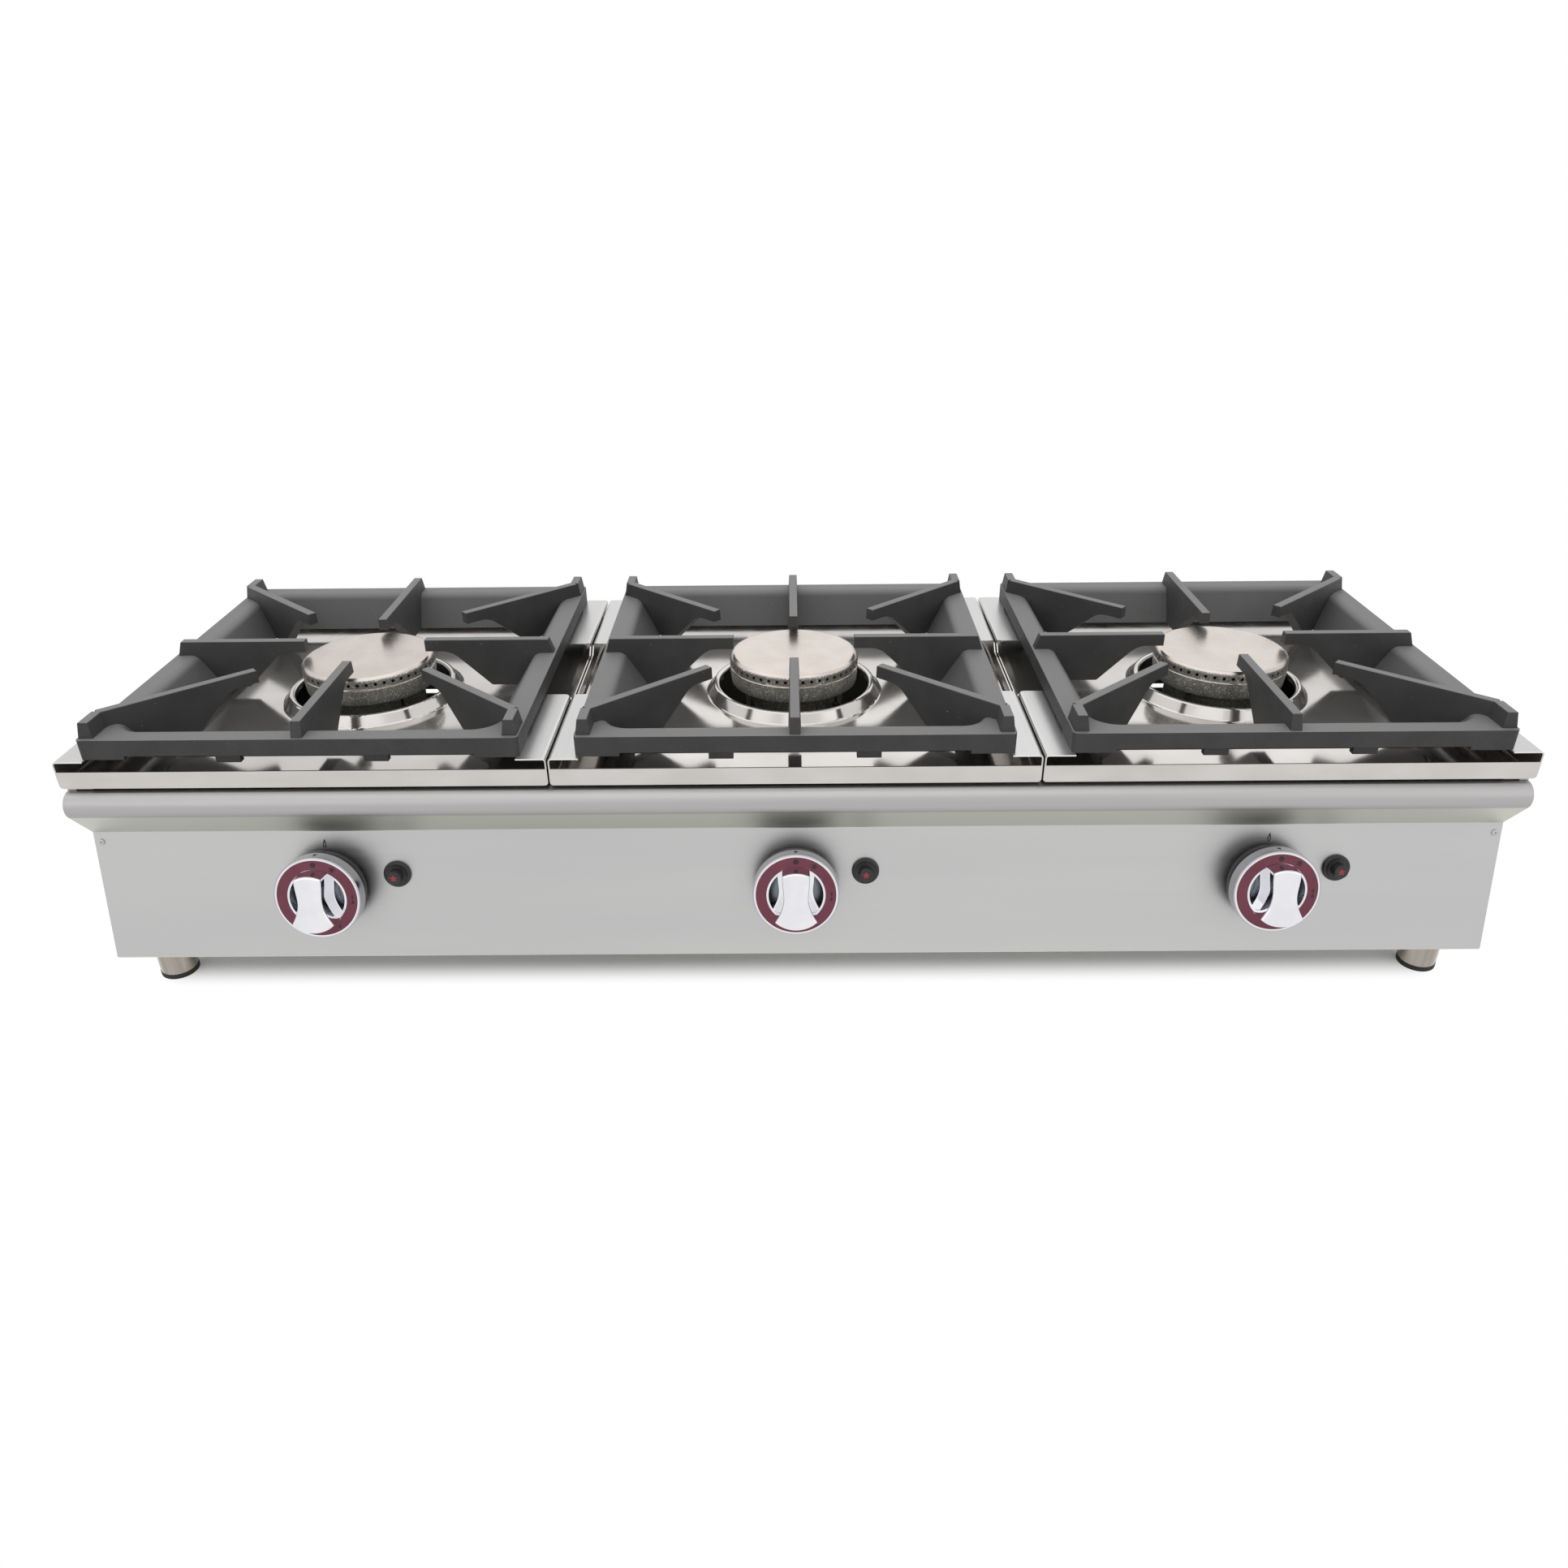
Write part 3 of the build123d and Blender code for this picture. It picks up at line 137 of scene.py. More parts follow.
def makeStudio(values):
    # A world that is seen pure white but lights the object less than that, and the lamps
    world = bpy.data.worlds.new("white studio")
    scene.world = world
    world.use_nodes = True
    tree = world.node_tree
    tree.nodes.clear()
    ray = addNode(tree, "LightPath").outputs
    seen = ray["Is Camera Ray"]
    for kind in ("Is Glossy Ray", "Is Transmission Ray"):
        seen = addNode(tree, "Math", {"operation": "MAXIMUM"}, {0: seen, 1: ray[kind]})
    surround = {"Color": linearColour(values["surround"])}
    lit = addNode(tree, "Background", {**surround, "Strength": values["ambient"]})
    shown = addNode(tree, "Background", {**surround, "Strength": 1})
    both = addNode(tree, "MixShader", {}, {0: seen, 1: lit, 2: shown})
    addNode(tree, "OutputWorld", {}, {"Surface": both})
    for name, lamp in values["lamps"].items():
        light = bpy.data.lights.new(name, "AREA")
        light.shape = "RECTANGLE"
        light.size, light.size_y = lamp["size"]
        light.energy = lamp["power"]
        holder = bpy.data.objects.new(name, light)
        scene.collection.objects.link(holder)
        holder.location = lamp["place"]
        aim = Vector(values["aim"]) - Vector(lamp["place"])
        holder.rotation_euler = aim.to_track_quat("-Z", "Y").to_euler()


def makeFloor(values):
    # A flat square at the worktop's level
    half = values["half"]
    corners = [(-half, -half, 0), (half, -half, 0), (half, half, 0), (-half, half, 0)]
    mesh = bpy.data.meshes.new("floor")
    mesh.from_pydata(corners, [], [(0, 1, 2, 3)])
    floor = bpy.data.objects.new("floor", mesh)
    scene.collection.objects.link(floor)
    # White painted board: it holds the soft shadow, and throws back less light than it shows
    paint = bpy.data.materials.new("white floor board")
    paint.use_nodes = True
    tree = paint.node_tree
    tree.nodes.clear()
    ray = addNode(tree, "LightPath").outputs
    kinds = {0: ray["Is Camera Ray"], 1: ray["Is Glossy Ray"]}
    seen = addNode(tree, "Math", {"operation": "MAXIMUM"}, kinds)
    plain = {"Color": linearColour(values["plain"])}
    painted = addNode(tree, "BsdfDiffuse", {"Color": linearColour(values["colour"])})
    glow = addNode(tree, "Emission", {**plain, "Strength": values["lift"]})
    board = addNode(tree, "AddShader", {}, {0: painted, 1: glow})
    # Past the shadow the board turns into plain white, by its distance from the ground under the object
    spot = addNode(tree, "TexCoord").outputs["Object"]
    spot = addNode(tree, "VectorMath", {"operation": "ABSOLUTE"}, {0: spot})
    spot = addNode(tree, "VectorMath", {"operation": "SUBTRACT", 1: (*values["foot"], 0)}, {0: spot})
    spot = addNode(tree, "VectorMath", {"operation": "MAXIMUM", 1: (0, 0, 0)}, {0: spot})
    away = addNode(tree, "VectorMath", {"operation": "LENGTH"}, {0: spot}).outputs["Value"]
    fade = {"interpolation_type": "SMOOTHSTEP", "From Max": values["shade"]}
    far = addNode(tree, "MapRange", fade, {"Value": away})
    shining = addNode(tree, "Emission", {**plain, "Strength": 1})
    shown = addNode(tree, "MixShader", {}, {0: far, 1: board, 2: shining})
    bounce = addNode(tree, "BsdfDiffuse", {"Color": linearColour(values["bounce"])})
    both = addNode(tree, "MixShader", {}, {0: seen, 1: bounce, 2: shown})
    addNode(tree, "OutputMaterial", {}, {"Surface": both})
    mesh.materials.append(paint)


makeStudio(studioValues)
makeFloor(floorValues)
print("studio ready")


# The control panel leans back, and each knob's axis stands square to it
panelTilt = math.radians(11.3)
outward = np.array([0, -math.cos(panelTilt), math.sin(panelTilt)])
upward = np.array([0, math.sin(panelTilt), math.cos(panelTilt)])
across = np.array([1.0, 0, 0])
dialFace = 28.6  # mm above the panel
dialThickness = 0.8  # mm
modulePitch = 400 * millimetre


def knobOrigin(module):
    # Where the knob's axis meets the panel, from the box of the dial
    low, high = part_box("knob_dial_" + module)
    return np.array((low + high) / 2) - (dialFace - dialThickness / 2) * millimetre * outward


# Finishes. Every one starts from the same few things: two close colours that drift over the surface, and a
# grain that roughens and raises it. Its layers come over that. A layer begins at the first of its two ends
# and is full at the second: height over the worktop, reach from a knob's axis and rise over the panel in
# millimetres, facing as the share of a face's direction that lies along one axis, and crests as the value
# of a noise.

driftNoise = {"detail": 2, "span": (0.35, 0.65)}  # span is the part of the range that the noise fills
grainNoise = {"detail": 3, "span": (0.3, 0.7)}


def noiseOver(parts, sides, detail):
    # A noise whose grains have the given sides in millimetres, with so many finer noises in it
    scale = [1 / (side * millimetre) for side in sides]
    scaled = addNode(parts["tree"], "Mapping", {"Scale": scale}, {"Vector": parts["place"]})
    return addNode(parts["tree"], "TexNoise", {"Scale": 1, "Detail": detail}, {"Vector": scaled})


def startFinish(name, values):
    # A finish of two drifting colours, with a grain in its roughness and its relief
    material = bpy.data.materials.new(name)
    material.use_nodes = True
    tree = material.node_tree
    shader = tree.nodes["Principled BSDF"]
    shader.inputs["Metallic"].default_value = values["metallic"]
    if "ior" in values:
        shader.inputs["IOR"].default_value = values["ior"]
    parts = {"tree": tree, "shader": shader, "place": addNode(tree, "TexCoord").outputs["Object"]}
    drift = noiseOver(parts, values["drift"], driftNoise["detail"])
    grain = noiseOver(parts, values["grain"], grainNoise["detail"])
    low, high = driftNoise["span"]
    even = addNode(tree, "MapRange", {"From Min": low, "From Max": high}, {"Value": drift})
    first, second = (linearColour(colour) for colour in values["colours"])
    colour = addNode(tree, "Mix", {"data_type": "RGBA", 6: first, 7: second}, {0: even}).outputs[2]
    low, high = grainNoise["span"]
    smooth, coarse = values["rough"]
    ends = {"From Min": low, "From Max": high, "To Min": smooth, "To Max": coarse}
    rough = addNode(tree, "MapRange", ends, {"Value": grain})
    raised = {"Strength": 1, "Distance": values["relief"] * millimetre}
    relief = addNode(tree, "Bump", raised, {"Height": grain})
    for source, socket in ((colour, "Base Color"), (rough, "Roughness"), (relief, "Normal")):
        connect(tree, source, shader.inputs[socket])
    return material, {**parts, "colour": colour, "rough": rough}


def layOver(parts, mask, layer, within=None):
    # Lays a layer's colour, roughness and metalness over a finish where the mask is 1, and only inside a
    # second mask where there is one
    tree, shader = parts["tree"], parts["shader"]
    if within is not None:
        mask = addNode(tree, "Math", {"operation": "MULTIPLY"}, {0: mask, 1: within})
    if "colour" in layer:
        over = {"data_type": "RGBA", 7: linearColour(layer["colour"])}
        parts["colour"] = addNode(tree, "Mix", over, {0: mask, 6: parts["colour"]}).outputs[2]
        connect(tree, parts["colour"], shader.inputs["Base Color"])
    if "rough" in layer:
        parts["rough"] = addNode(tree, "Mix", {3: layer["rough"]}, {0: mask, 2: parts["rough"]})
        connect(tree, parts["rough"], shader.inputs["Roughness"])
    if "metallic" in layer:
        ends = {"To Min": shader.inputs["Metallic"].default_value, "To Max": layer["metallic"]}
        connect(tree, addNode(tree, "MapRange", ends, {"Value": mask}), shader.inputs["Metallic"])


def heightMask(parts, ends):
    # From 0 to 1 between two heights over the worktop
    low, high = (end * millimetre for end in ends)
    height = addNode(parts["tree"], "SeparateXYZ", {}, {0: parts["place"]}).outputs["Z"]
    return addNode(parts["tree"], "MapRange", {"From Min": low, "From Max": high}, {"Value": height})


def facingMask(parts, axis, ends, eitherWay=False):
    # From 0 to 1 as a face turns along an axis, or also against it when eitherWay is true
    tree = parts["tree"]
    normal = addNode(tree, "NewGeometry").outputs["True Normal"]
    along = addNode(tree, "SeparateXYZ", {}, {0: normal}).outputs[axis]
    if eitherWay:
        along = addNode(tree, "Math", {"operation": "ABSOLUTE"}, {0: along})
    return addNode(tree, "MapRange", {"From Min": ends[0], "From Max": ends[1]}, {"Value": along})


def laySpecks(parts, layer, within=None):
    # Small bright grains: the crests of a fine noise
    noise = noiseOver(parts, [layer["size"]] * 3, detail=1)
    low, high = layer["crests"]
    crests = addNode(parts["tree"], "MapRange", {"From Min": low, "From Max": high}, {"Value": noise})
    layOver(parts, crests, layer, within)


# Brushed stainless sheet, ground lengthwise with fine grit: soft level streaks and a blurred reflection.
# Real scratches are about 0.1 mm apart, drawn 1.2 mm apart so that they show. The forward face of the bent
# nose is painted a shade darker, a painted reflection of a darker room, and the slanted face under it is
# duller and painted with a trace of olive, a painted reflection of the worktop.
panelSteel = {
    "metallic": 1, "colours": ("#c2c2c2", "#c6c6c5"), "rough": (0.37, 0.43),
    "drift": (420, 60, 60), "grain": (90, 1.2, 1.2), "relief": 0.002,
    "slant": {"colour": "#cecfc5", "rough": 0.52, "facing": (-0.1, -0.3)},
    "nose": {"colour": "#b4b2b2", "facing": (0, -0.4), "height": (187.5, 188.5)},
}


def layPanel(parts, values):
    # Painted reflections: the slanted face's olive tint and the nose's darker forward face
    slant, nose = values["slant"], values["nose"]
    layOver(parts, facingMask(parts, "Z", slant["facing"]), slant)
    layOver(parts, facingMask(parts, "Y", nose["facing"]), nose, heightMask(parts, nose["height"]))


# Bright rolled stainless, pressed: nearly a mirror, with slow waves from the press. Its flanges are satin,
# brushed along the tray, and their cut edges are bright.
traySteel = {
    "metallic": 0.88, "colours": ("#cbc7c3", "#d3d0cd"), "rough": (0.10, 0.15),
    "drift": (60, 60, 30), "grain": (30, 30, 30), "relief": 0.03,
    "satin": {"colour": "#c8c8c8", "rough": 0.3, "height": (234.3, 234.6)},
    "streak": {"colour": "#d4d4d3", "sides": (1.25, 83.33, 1.25)},
    "cutEdge": {"colour": "#f2f2ee", "rough": 0.2, "facing": (0.85, 0.95)},
}


def layTray(parts, values):
    satin, streak, cutEdge = (values[name] for name in ("satin", "streak", "cutEdge"))
    onFlange = heightMask(parts, satin["height"])
    layOver(parts, onFlange, satin)
    layOver(parts, noiseOver(parts, streak["sides"], detail=2), streak, onFlange)
    layOver(parts, facingMask(parts, "Y", cutEdge["facing"], eitherWay=True), cutEdge, onFlange)


# Matt enamel on cast iron: dark grey, fine orange peel over the sand-cast skin, pale specks of dust. Its
# upper faces are painted paler: painted light from above.
grateIron = {
    "metallic": 0, "colours": ("#3e3e3e", "#464646"), "rough": (0.5, 0.64), "ior": 1.45,
    "drift": (30, 30, 30), "grain": (1.6, 1.6, 1.6), "relief": 0.09,
    "worn": {"colour": "#888888", "facing": (0.3, 0.9)},
    "speck": {"colour": "#8d8d8b", "size": 2.2, "crests": (0.76, 0.84)},
}


def layGrate(parts, values):
    # Upward faces painted paler: painted light from above
    layOver(parts, facingMask(parts, "Z", values["worn"]["facing"]), values["worn"])
    laySpecks(parts, values["speck"])


# Cast burner iron, shot-blasted: grey-brown with bright grains that catch the light, and a machined rim on
# top, smoother and painted near white as a painted highlight
burnerIron = {
    "metallic": 0.75, "colours": ("#7e7e78", "#93928b"), "rough": (0.38, 0.62),
    "drift": (9, 9, 9), "grain": (1.3, 1.3, 1.3), "relief": 0.16,
    "speck": {"colour": "#c6c2ba", "rough": 0.3, "size": 1.5, "crests": (0.58, 0.66)},
    "machined": {"colour": "#e4e0d8", "rough": 0.2, "metallic": 1, "height": (239.1, 239.2)},
}


def layBurner(parts, values):
    laySpecks(parts, values["speck"])
    # The top rim: smoother, and painted near white as a painted highlight
    layOver(parts, heightMask(parts, values["machined"]["height"]), values["machined"])


# Spun steel cap: satin on top, grained like the casting down its side, and polished at the foot of its skirt,
# where it is also painted near white as a painted highlight
capSteel = {
    "metallic": 1, "colours": ("#c9c0b9", "#d0c8c1"), "rough": (0.26, 0.29),
    "drift": (24, 24, 24), "grain": (3, 3, 3), "relief": 0.0006,
    "side": {"colour": "#8e8c87", "rough": 0.5, "height": (248.2, 248.0)},
    "speck": {"colour": "#dcd8d0", "rough": 0.3, "size": 1.2, "crests": (0.54, 0.62)},
    "skirt": {"colour": "#ece8e0", "rough": 0.12, "height": (241.0, 240.9)},
}


def layCap(parts, values):
    onSide = heightMask(parts, values["side"]["height"])
    layOver(parts, onSide, values["side"])
    laySpecks(parts, values["speck"], onSide)
    # The foot of the skirt: smoother, and painted near white as a painted highlight
    layOver(parts, heightMask(parts, values["skirt"]["height"]), values["skirt"])


# Chromed zinc casting: a bright mirror with a trace of cool blue. Its band is painted greyer, a painted
# reflection of darker surroundings; the floor of its pocket is painted darker, painted shade; and a dark ring
# at the foot of the pocket's wall is painted shadow
knobChrome = {
    "metallic": 1, "colours": ("#e3e3e8", "#ebebee"), "rough": (0.03, 0.06),
    "drift": (20, 20, 20), "grain": (9, 9, 9), "relief": 0.012,
    "band": {"colour": "#b0b0b4", "rough": 0.14, "reach": (34.6, 35.6)},
    "pocket": {"colour": "#70777b", "rise": (17.4, 17.0)},
    "line": {"colour": "#26282a", "rough": 0.2, "reach": (17.0, 21.4)},
}


def layKnob(parts, values):
    # A point's rise is its distance from the panel, and its reach the distance from the knob's axis. They
    # are taken from the middle knob, and x wraps over one module, so that they hold for every knob.
    tree = parts["tree"]
    foot = {"operation": "SUBTRACT", 1: knobOrigin("middle").tolist()}
    fromFoot = addNode(tree, "VectorMath", foot, {0: parts["place"]})
    sideways = addNode(tree, "SeparateXYZ", {}, {0: fromFoot})
    wrap = {"operation": "WRAP", 1: -modulePitch / 2, 2: modulePitch / 2}
    sideways = addNode(tree, "Math", wrap, {0: sideways})
    distances = []
    for axis in (upward, outward):
        along = {"operation": "DOT_PRODUCT", 1: axis.tolist()}
        distances.append(addNode(tree, "VectorMath", along, {0: fromFoot}).outputs["Value"])
    up, rise = distances
    flat = addNode(tree, "CombineXYZ", {}, {0: sideways, 1: up})
    reach = addNode(tree, "VectorMath", {"operation": "LENGTH"}, {0: flat}).outputs["Value"]
    masks = {}
    for name, way, distance in (("band", "reach", reach), ("pocket", "rise", rise), ("line", "reach", reach)):
        low, high = (end * millimetre for end in values[name][way])
        masks[name] = addNode(tree, "MapRange", {"From Min": low, "From Max": high}, {"Value": distance})
    # Band painted greyer as a painted reflection, pocket floor painted darker as painted shade, and a dark
    # ring at the foot of the pocket's wall as painted shadow
    layOver(parts, masks["band"], values["band"])
    layOver(parts, masks["pocket"], values["pocket"])
    layOver(parts, masks["line"], values["line"], masks["pocket"])


# Glazed alumina of the electrodes: creamy white and glossy, with a steel tip painted dark grey, which also
# paints the shade of the dark gap under the cap
electrodeCeramic = {
    "metallic": 0, "colours": ("#e4dfd3", "#efebe2"), "rough": (0.22, 0.34), "ior": 1.7,
    "drift": (5, 5, 5), "grain": (0.8, 0.8, 0.8), "relief": 0.01,
    # Tip painted dark grey, partly painted shade in the gap under the cap
    "tip": {"colour": "#6d6a66", "rough": 0.3, "metallic": 1, "height": (208.0, 208.1)},
}
# Annealed copper capillary, darkened by heat near the burner, with a dull steel probe head
thermocoupleCopper = {
    "metallic": 1, "colours": ("#a9694c", "#bd8160"), "rough": (0.28, 0.44),
    "drift": (10, 10, 10), "grain": (1.5, 1.5, 1.5), "relief": 0.015,
    "tip": {"colour": "#8c8780", "rough": 0.34, "height": (178.0, 178.1)},
}


def layTip(parts, values):
    layOver(parts, heightMask(parts, values["tip"]["height"]), values["tip"])


# Plain mill finish stainless for the hidden sheets: duller, with faint rolling lines
innerSteel = {
    "metallic": 1, "colours": ("#adadab", "#b8b8b6"), "rough": (0.3, 0.42),
    "drift": (200, 80, 80), "grain": (50, 2, 2), "relief": 0.02,
}
# Screen-printed burgundy lacquer on the dial: even, with a soft sheen
dialPaint = {
    "metallic": 0, "colours": ("#7a3449", "#823b4f"), "rough": (0.3, 0.4), "ior": 1.5,
    "drift": (14, 14, 14), "grain": (0.8, 0.8, 0.8), "relief": 0.006,
}
# Moulded black phenolic under the knob: deep black, slightly glossy
knobPlastic = {
    "metallic": 0, "colours": ("#1a1a1b", "#222223"), "rough": (0.3, 0.42), "ior": 1.5,
    "drift": (12, 12, 12), "grain": (1, 1, 1), "relief": 0.02,
}
# Spark-eroded black nylon of the igniters: a fine dull texture
igniterPlastic = {
    "metallic": 0, "colours": ("#222222", "#2e2e2e"), "rough": (0.38, 0.55), "ior": 1.53,
    "drift": (8, 8, 8), "grain": (0.9, 0.9, 0.9), "relief": 0.05,
}
# Chromed steel tube, drawn: a warm mirror with faint streaks down its length
legChrome = {
    "metallic": 1, "colours": ("#9b938b", "#afa89f"), "rough": (0.14, 0.26),
    "drift": (7, 7, 200), "grain": (1.4, 1.4, 60), "relief": 0.01,
}
# Black rubber of the pads: matt, with a little bloom
padRubber = {
    "metallic": 0, "colours": ("#181818", "#242424"), "rough": (0.6, 0.8), "ior": 1.52,
    "drift": (6, 6, 6), "grain": (1, 1, 1), "relief": 0.04,
}
# Hot-pressed brass, turned at its ends: dull yellow with a cast skin
brass = {
    "metallic": 1, "colours": ("#b89a5c", "#c6aa6e"), "rough": (0.24, 0.42),
    "drift": (14, 14, 14), "grain": (1.2, 1.2, 1.2), "relief": 0.03,
}
# Drawn aluminium pipe: soft white metal with scuffs from bending
pipeAluminium = {
    "metallic": 1, "colours": ("#b9bbbd", "#c8cacc"), "rough": (0.3, 0.46),
    "drift": (20, 20, 20), "grain": (2, 2, 8), "relief": 0.02,
}
# Zinc-plated steel tube: a grey mirror with a faint spangle
tubeSteel = {
    "metallic": 1, "colours": ("#a7abae", "#b9bcbe"), "rough": (0.26, 0.38),
    "drift": (16, 9, 9), "grain": (30, 1.5, 1.5), "relief": 0.02,
}
# Turned stainless of rivets, screws, nuts and spindles: bright, with fine rings
fastenerSteel = {
    "metallic": 1, "colours": ("#b4b4b2", "#c6c6c4"), "rough": (0.2, 0.34),
    "drift": (3, 3, 3), "grain": (0.6, 0.6, 0.6), "relief": 0.01,
}
# Silicone rubber of the ignition leads: dull brick red
leadRubber = {
    "metallic": 0, "colours": ("#7c2f26", "#8a3a2e"), "rough": (0.5, 0.66), "ior": 1.43,
    "drift": (12, 12, 12), "grain": (1, 1, 1), "relief": 0.02,
}

# By the record's material slot: the finish's name, its values, and the function that lays its layers
finishTable = {
    "inner_sheet": ("mill finish stainless sheet", innerSteel),
    "dial_paint": ("burgundy dial lacquer", dialPaint),
    "knob_plastic": ("moulded black phenolic", knobPlastic),
    "igniter_plastic": ("eroded black nylon", igniterPlastic),
    "leg_chrome": ("chromed drawn tube", legChrome),
    "pad_rubber": ("black rubber", padRubber),
    "brass": ("hot pressed brass", brass),
    "pipe_aluminium": ("drawn aluminium pipe", pipeAluminium),
    "tube_steel": ("zinc plated tube", tubeSteel),
    "fastener_steel": ("turned stainless", fastenerSteel),
    "lead_rubber": ("silicone rubber", leadRubber),
    "panel_sheet": ("brushed stainless sheet", panelSteel, layPanel),
    "knob_chrome": ("chromed zinc casting", knobChrome, layKnob),
    "grate_iron": ("enamelled cast iron", grateIron, layGrate),
    "burner_iron": ("shot blasted burner iron", burnerIron, layBurner),
    "cap_steel": ("spun steel cap", capSteel, layCap),
    "tray_sheet": ("bright rolled stainless", traySteel, layTray),
    "electrode_ceramic": ("glazed alumina", electrodeCeramic, layTip),
    "thermocouple_copper": ("annealed copper capillary", thermocoupleCopper, layTip),
}


def makeFinishes(table):
    # One material for each slot
    finishes = {}
    for slot, (name, values, *layers) in table.items():
        finishes[slot], parts = startFinish(name, values)
        for layFinish in layers:
            layFinish(parts, values)
    return finishes


finishes = makeFinishes(finishTable)
for part in frame["record"]["subparts"]:
    shape = frame["nodes"][part["node"]]
    for slot in shape.material_slots:
        slot.material = finishes[part["material_slot"]]
print("finishes given to", len(frame["nodes"]), "nodes")


# Small marks. Each is a thin raised print on the face that carries it.

filmRelief = 0.05  # mm that a print stands above its face, and reaches below it
# Screen-printed ink: a thin dull film, slightly uneven
inkFilm = {
    "metallic": 0, "rough": (0.42, 0.55), "ior": 1.5,
    "drift": (4, 4, 4), "grain": (0.6, 0.6, 0.6), "relief": 0.004,
}


def makeInk(name, colour):
    return startFinish(name, {**inkFilm, "colours": (colour, colour)})[0]


def addGrid(name, grid, body, finish, loop=False):
    # A surface from a grid of points in metres. Columns close on themselves; rows close too when loop is
    # true, and otherwise each end is drawn in to its middle point.
    rows, columns = grid.shape[:2]
    spots = grid.reshape(-1, 3)
    row = np.arange(rows if loop else rows - 1)[:, None] * columns
    column = np.arange(columns)[None, :]
    after = (column + 1) % columns
    above = (row + columns) % (rows * columns)
    faces = np.stack([row + column, row + after, above + after, above + column], axis=-1)
    faces = faces.reshape(-1, 4).tolist()
    if not loop:
        spots = np.vstack([spots, grid[0].mean(axis=0), grid[-1].mean(axis=0)])
        first, last = column[0], column[0] + (rows - 1) * columns
        middle = np.full(columns, rows * columns)
        faces += np.stack([middle, np.roll(first, -1), first], axis=-1).tolist()
        faces += np.stack([middle + 1, last, np.roll(last, -1)], axis=-1).tolist()
    mesh = bpy.data.meshes.new(name)
    mesh.from_pydata(spots.tolist(), [], faces)
    shell = bmesh.new()
    shell.from_mesh(mesh)
    bmesh.ops.recalc_face_normals(shell, faces=shell.faces)
    shell.to_mesh(mesh)
    shell.free()
    mesh.materials.append(finish)
    piece = bpy.data.objects.new(name, mesh)
    scene.collection.objects.link(piece)
    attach(piece, body)
    return piece


def joinGrids(name, pieces):
    # Makes one piece of several marks on the same body
    with bpy.context.temp_override(active_object=pieces[0], selected_editable_objects=pieces):
        bpy.ops.object.join()
    pieces[0].name = name


def onPanel(origin, flat, height):
    # A point of the panel's own plane, from millimetres across, up and out
    return origin + millimetre * (
        flat[..., 0:1] * across + flat[..., 1:2] * upward + np.asarray(height)[..., None] * outward
    )


def printedMark(outline, height, relief=filmRelief):
    # Rows of a thin pad: its foot just under the face, its top edge, and half way in to its middle.
    # outline is (columns, 2); the rows are the outline three times, the last one shrunk to half.
    middle = outline.mean(axis=0)
    rows = np.stack([outline, outline, middle + 0.5 * (outline - middle)])
    heights = [height - filmRelief, height + relief, height + relief]
    return rows, np.repeat(heights, len(outline)).reshape(3, -1)


def turnsRound(count):
    # Equal turns from a mark's top all the way round
    return np.linspace(0, 2 * np.pi, count, endpoint=False)


def roundOutline(radius, count=24):
    # A circle: sine and cosine of the turn, times the radius
    turn = turnsRound(count)
    return radius * np.stack([np.sin(turn), np.cos(turn)], axis=-1)


def starOutline(radius, points, waist, count=40):
    # A star: the radius runs as a triangle wave between its points and its waist
    turn = turnsRound(count)
    wave = np.abs(2 * ((turn * points / (2 * np.pi)) % 1) - 1)
    reach = radius * (waist + (1 - waist) * wave)
    return reach[:, None] * np.stack([np.sin(turn), np.cos(turn)], axis=-1)


def flameOutline(width, height, lean, count=36):
    # A teardrop: height along the cosine of the turn, and width along its sine times the square of the sine
    # of half the turn, which spans 1.3. The square of the height pushes its tip sideways.
    turn = turnsRound(count)
    rise = np.cos(turn)
    side = width * np.sin(turn) * np.sin(turn / 2) ** 2 / 1.3
    return np.stack([side + lean * ((rise + 1) / 2) ** 2, height / 2 * rise], axis=-1)


def turned(flat, degrees):
    # Carries an outline round the knob's axis, clockwise from the top
    turn = math.radians(degrees)
    return flat @ np.array([[math.cos(turn), -math.sin(turn)], [math.sin(turn), math.cos(turn)]])


dialMarkValues = {
    "radius": 29.6,  # from the knob's axis
    "ink": ("dial ink", "#35222a"),
    "dot": 2.3,
    "spark": {"turn": 31, "radius": 2.9, "points": 5, "waist": 0.45},
    "lean": 0.4,
    "flames": [
        {"turn": 87, "size": (2.1, 4.4)},
        {"turn": 96, "size": (2.3, 4.8)},
        {"turn": 147, "size": (2.0, 4.6)},
    ],
}


def makeDialMarks(values):
    # A dot at the top, a spark, a double flame at the right and a small flame below it
    ink = makeInk(*values["ink"])
    top = np.array([0, values["radius"]])
    spark = values["spark"]
    star = starOutline(spark["radius"], spark["points"], spark["waist"])
    flats = [roundOutline(values["dot"]) + top, turned(star + top, spark["turn"])]
    for flame in values["flames"]:
        flats.append(flameOutline(*flame["size"], values["lean"]) + turned(top[None], flame["turn"]))
    for module in modules:
        pieces = []
        for number, flat in enumerate(flats):
            grid = onPanel(knobOrigin(module), *printedMark(flat, dialFace))
            pieces.append(addGrid(f"dial_mark_{module}_{number}", grid, "knob_" + module, ink))
        joinGrids("dial_marks_" + module, pieces)


pointerValues = {
    "width": 4.0, "height": 5.2,
    "low": 20.2,  # where it starts above the panel
    "radius": 36.2, "relief": 0.06,
    "ink": ("pointer ink", "#2b2b2d"),
}


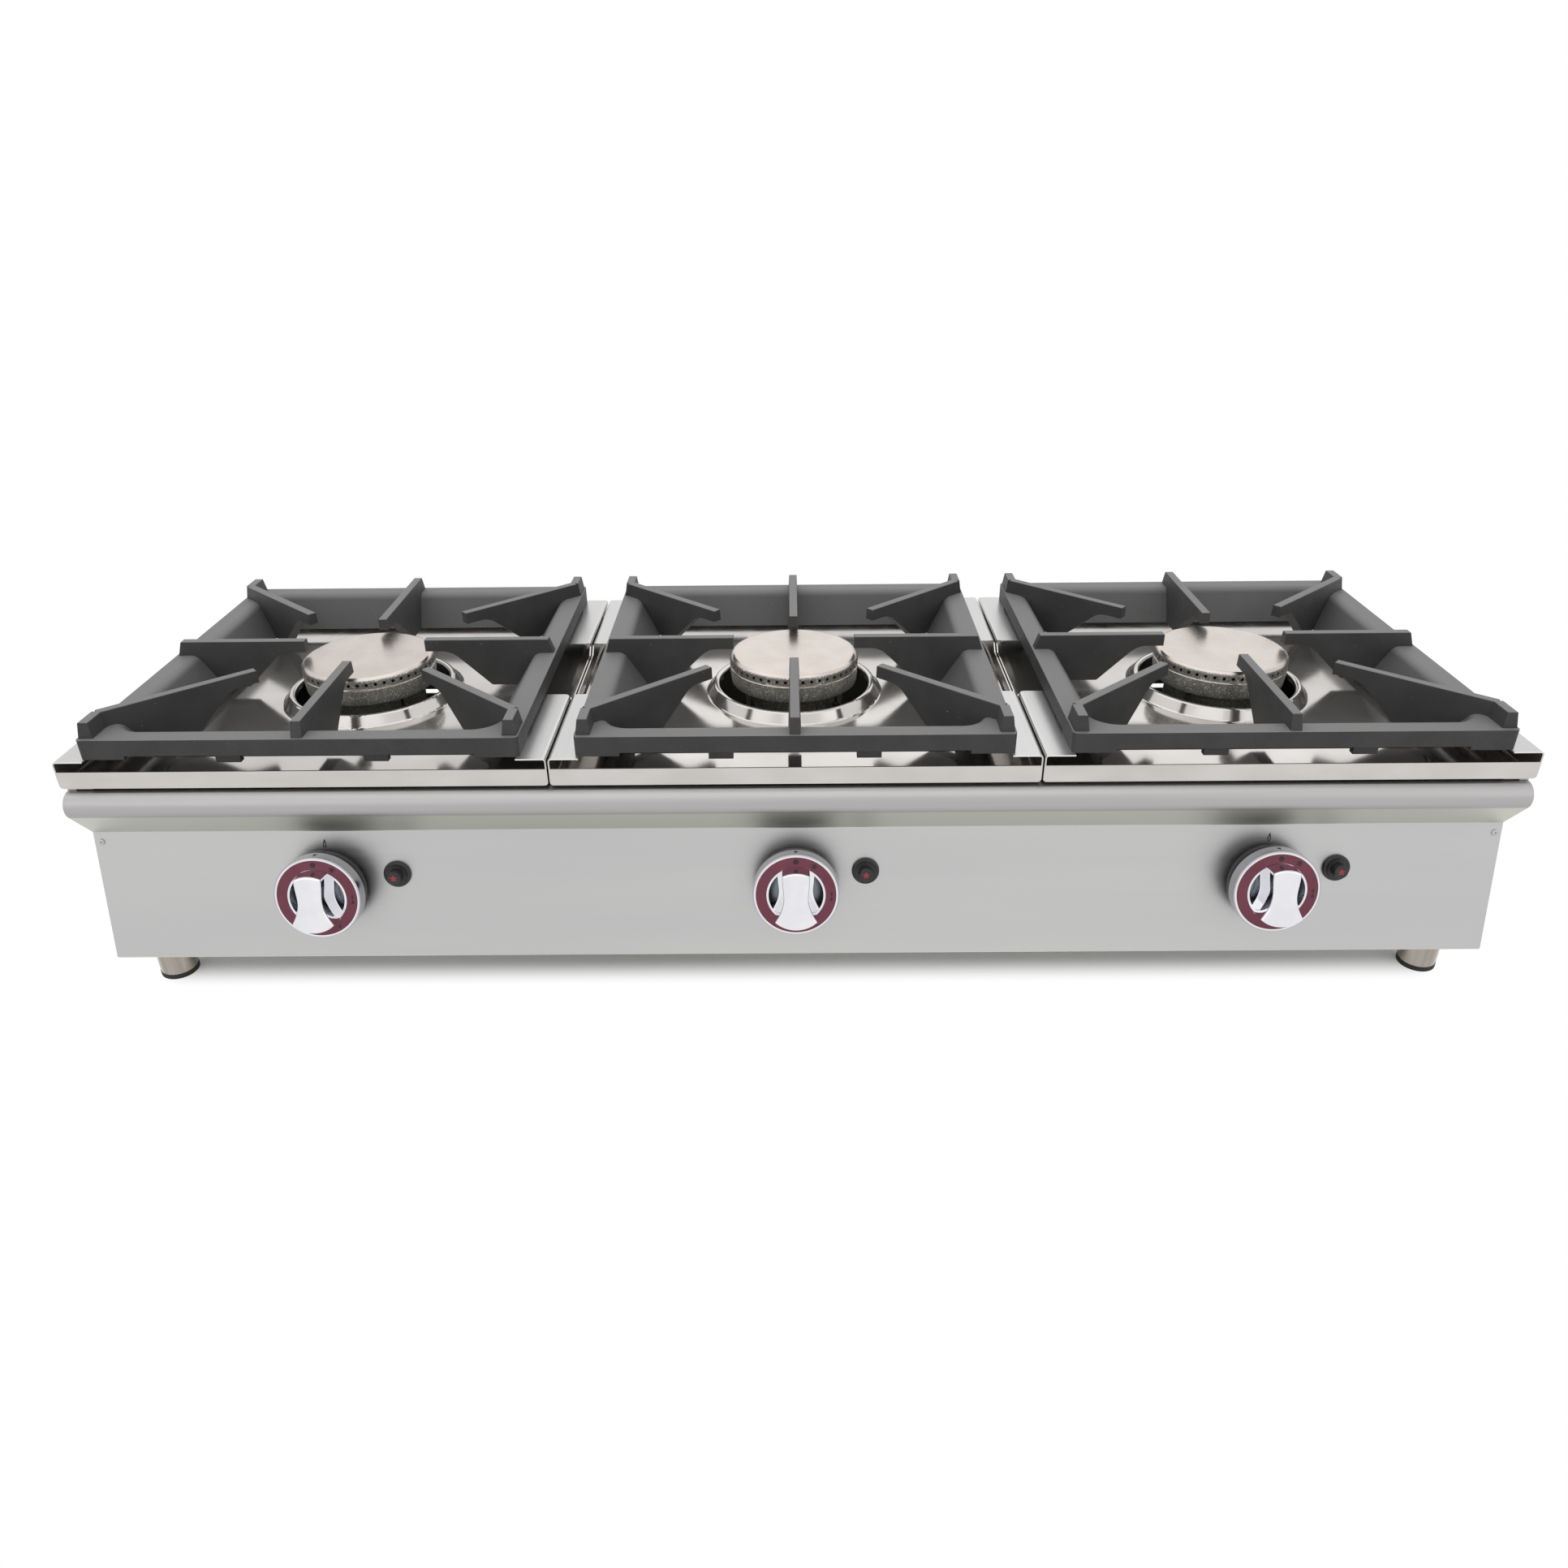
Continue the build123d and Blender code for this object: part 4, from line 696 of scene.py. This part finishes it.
def makePointers(values):
    # A triangle wrapped on the chrome band: across becomes a turn about the axis, up becomes the height
    ink = makeInk(*values["ink"])
    share = np.linspace(0, 1, 4, endpoint=False)[:, None]  # each side in four steps
    corners = np.array([(-0.5, 0.0), (0.5, 0.0), (0.0, 1.0), (-0.5, 0.0)])
    sides = [start + share * (end - start) for start, end in zip(corners, corners[1:])]
    outline = np.concatenate(sides) * (values["width"], values["height"])
    rows, reach = printedMark(outline, values["radius"], values["relief"])
    turn = rows[..., 0] / values["radius"]
    flat = np.stack([reach * np.sin(turn), reach * np.cos(turn)], axis=-1)
    for module in modules:
        grid = onPanel(knobOrigin(module), flat, values["low"] + rows[..., 1])
        addGrid("knob_pointer_" + module, grid, "knob_" + module, ink)


igniterMarkValues = {
    "radius": 3.0, "points": 5, "waist": 0.5,
    "face": 12.0,  # above the panel
    "ink": ("red ink", "#b8404e"),
}


def makeIgniterMarks(values):
    # A red spark on each button, whose axis meets the panel at origin
    ink = makeInk(*values["ink"])
    star = starOutline(values["radius"], values["points"], values["waist"])
    for module in modules:
        low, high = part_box("igniter_button_" + module)
        middle = np.array((low + high) / 2)
        origin = middle - (middle - knobOrigin(module)) @ outward * outward
        grid = onPanel(origin, *printedMark(star, values["face"]))
        addGrid("igniter_mark_" + module, grid, "igniter_" + module, ink)


panelFlameValues = {
    "rise": 38.5,  # above the knob's axis
    "width": 2.2, "height": 6.6, "lean": 0.5, "line": 0.9,
    "ink": ("panel ink", "#343432"),
}


def makePanelFlames(values):
    # A line of ink carried round a teardrop: at each point of the path a flat rectangle, square to it
    ink = makeInk(*values["ink"])
    path = flameOutline(values["width"], values["height"], values["lean"], count=48)
    ahead = np.roll(path, -1, axis=0) - np.roll(path, 1, axis=0)
    ahead /= np.linalg.norm(ahead, axis=1, keepdims=True)
    side = np.stack([-ahead[:, 1], ahead[:, 0]], axis=-1) * values["line"] / 2
    flat = np.stack([path - side, path + side, path + side, path - side], axis=1)
    heights = np.tile([-filmRelief, -filmRelief, filmRelief, filmRelief], (len(path), 1))
    for module in ("left", "right"):
        origin = knobOrigin(module) + values["rise"] * millimetre * upward
        grid = onPanel(origin, flat, heights)
        addGrid("panel_flame_" + module, grid, "body", ink, loop=True)


makeDialMarks(dialMarkValues)
makePointers(pointerValues)
makeIgniterMarks(igniterMarkValues)
makePanelFlames(panelFlameValues)
print("marks added")
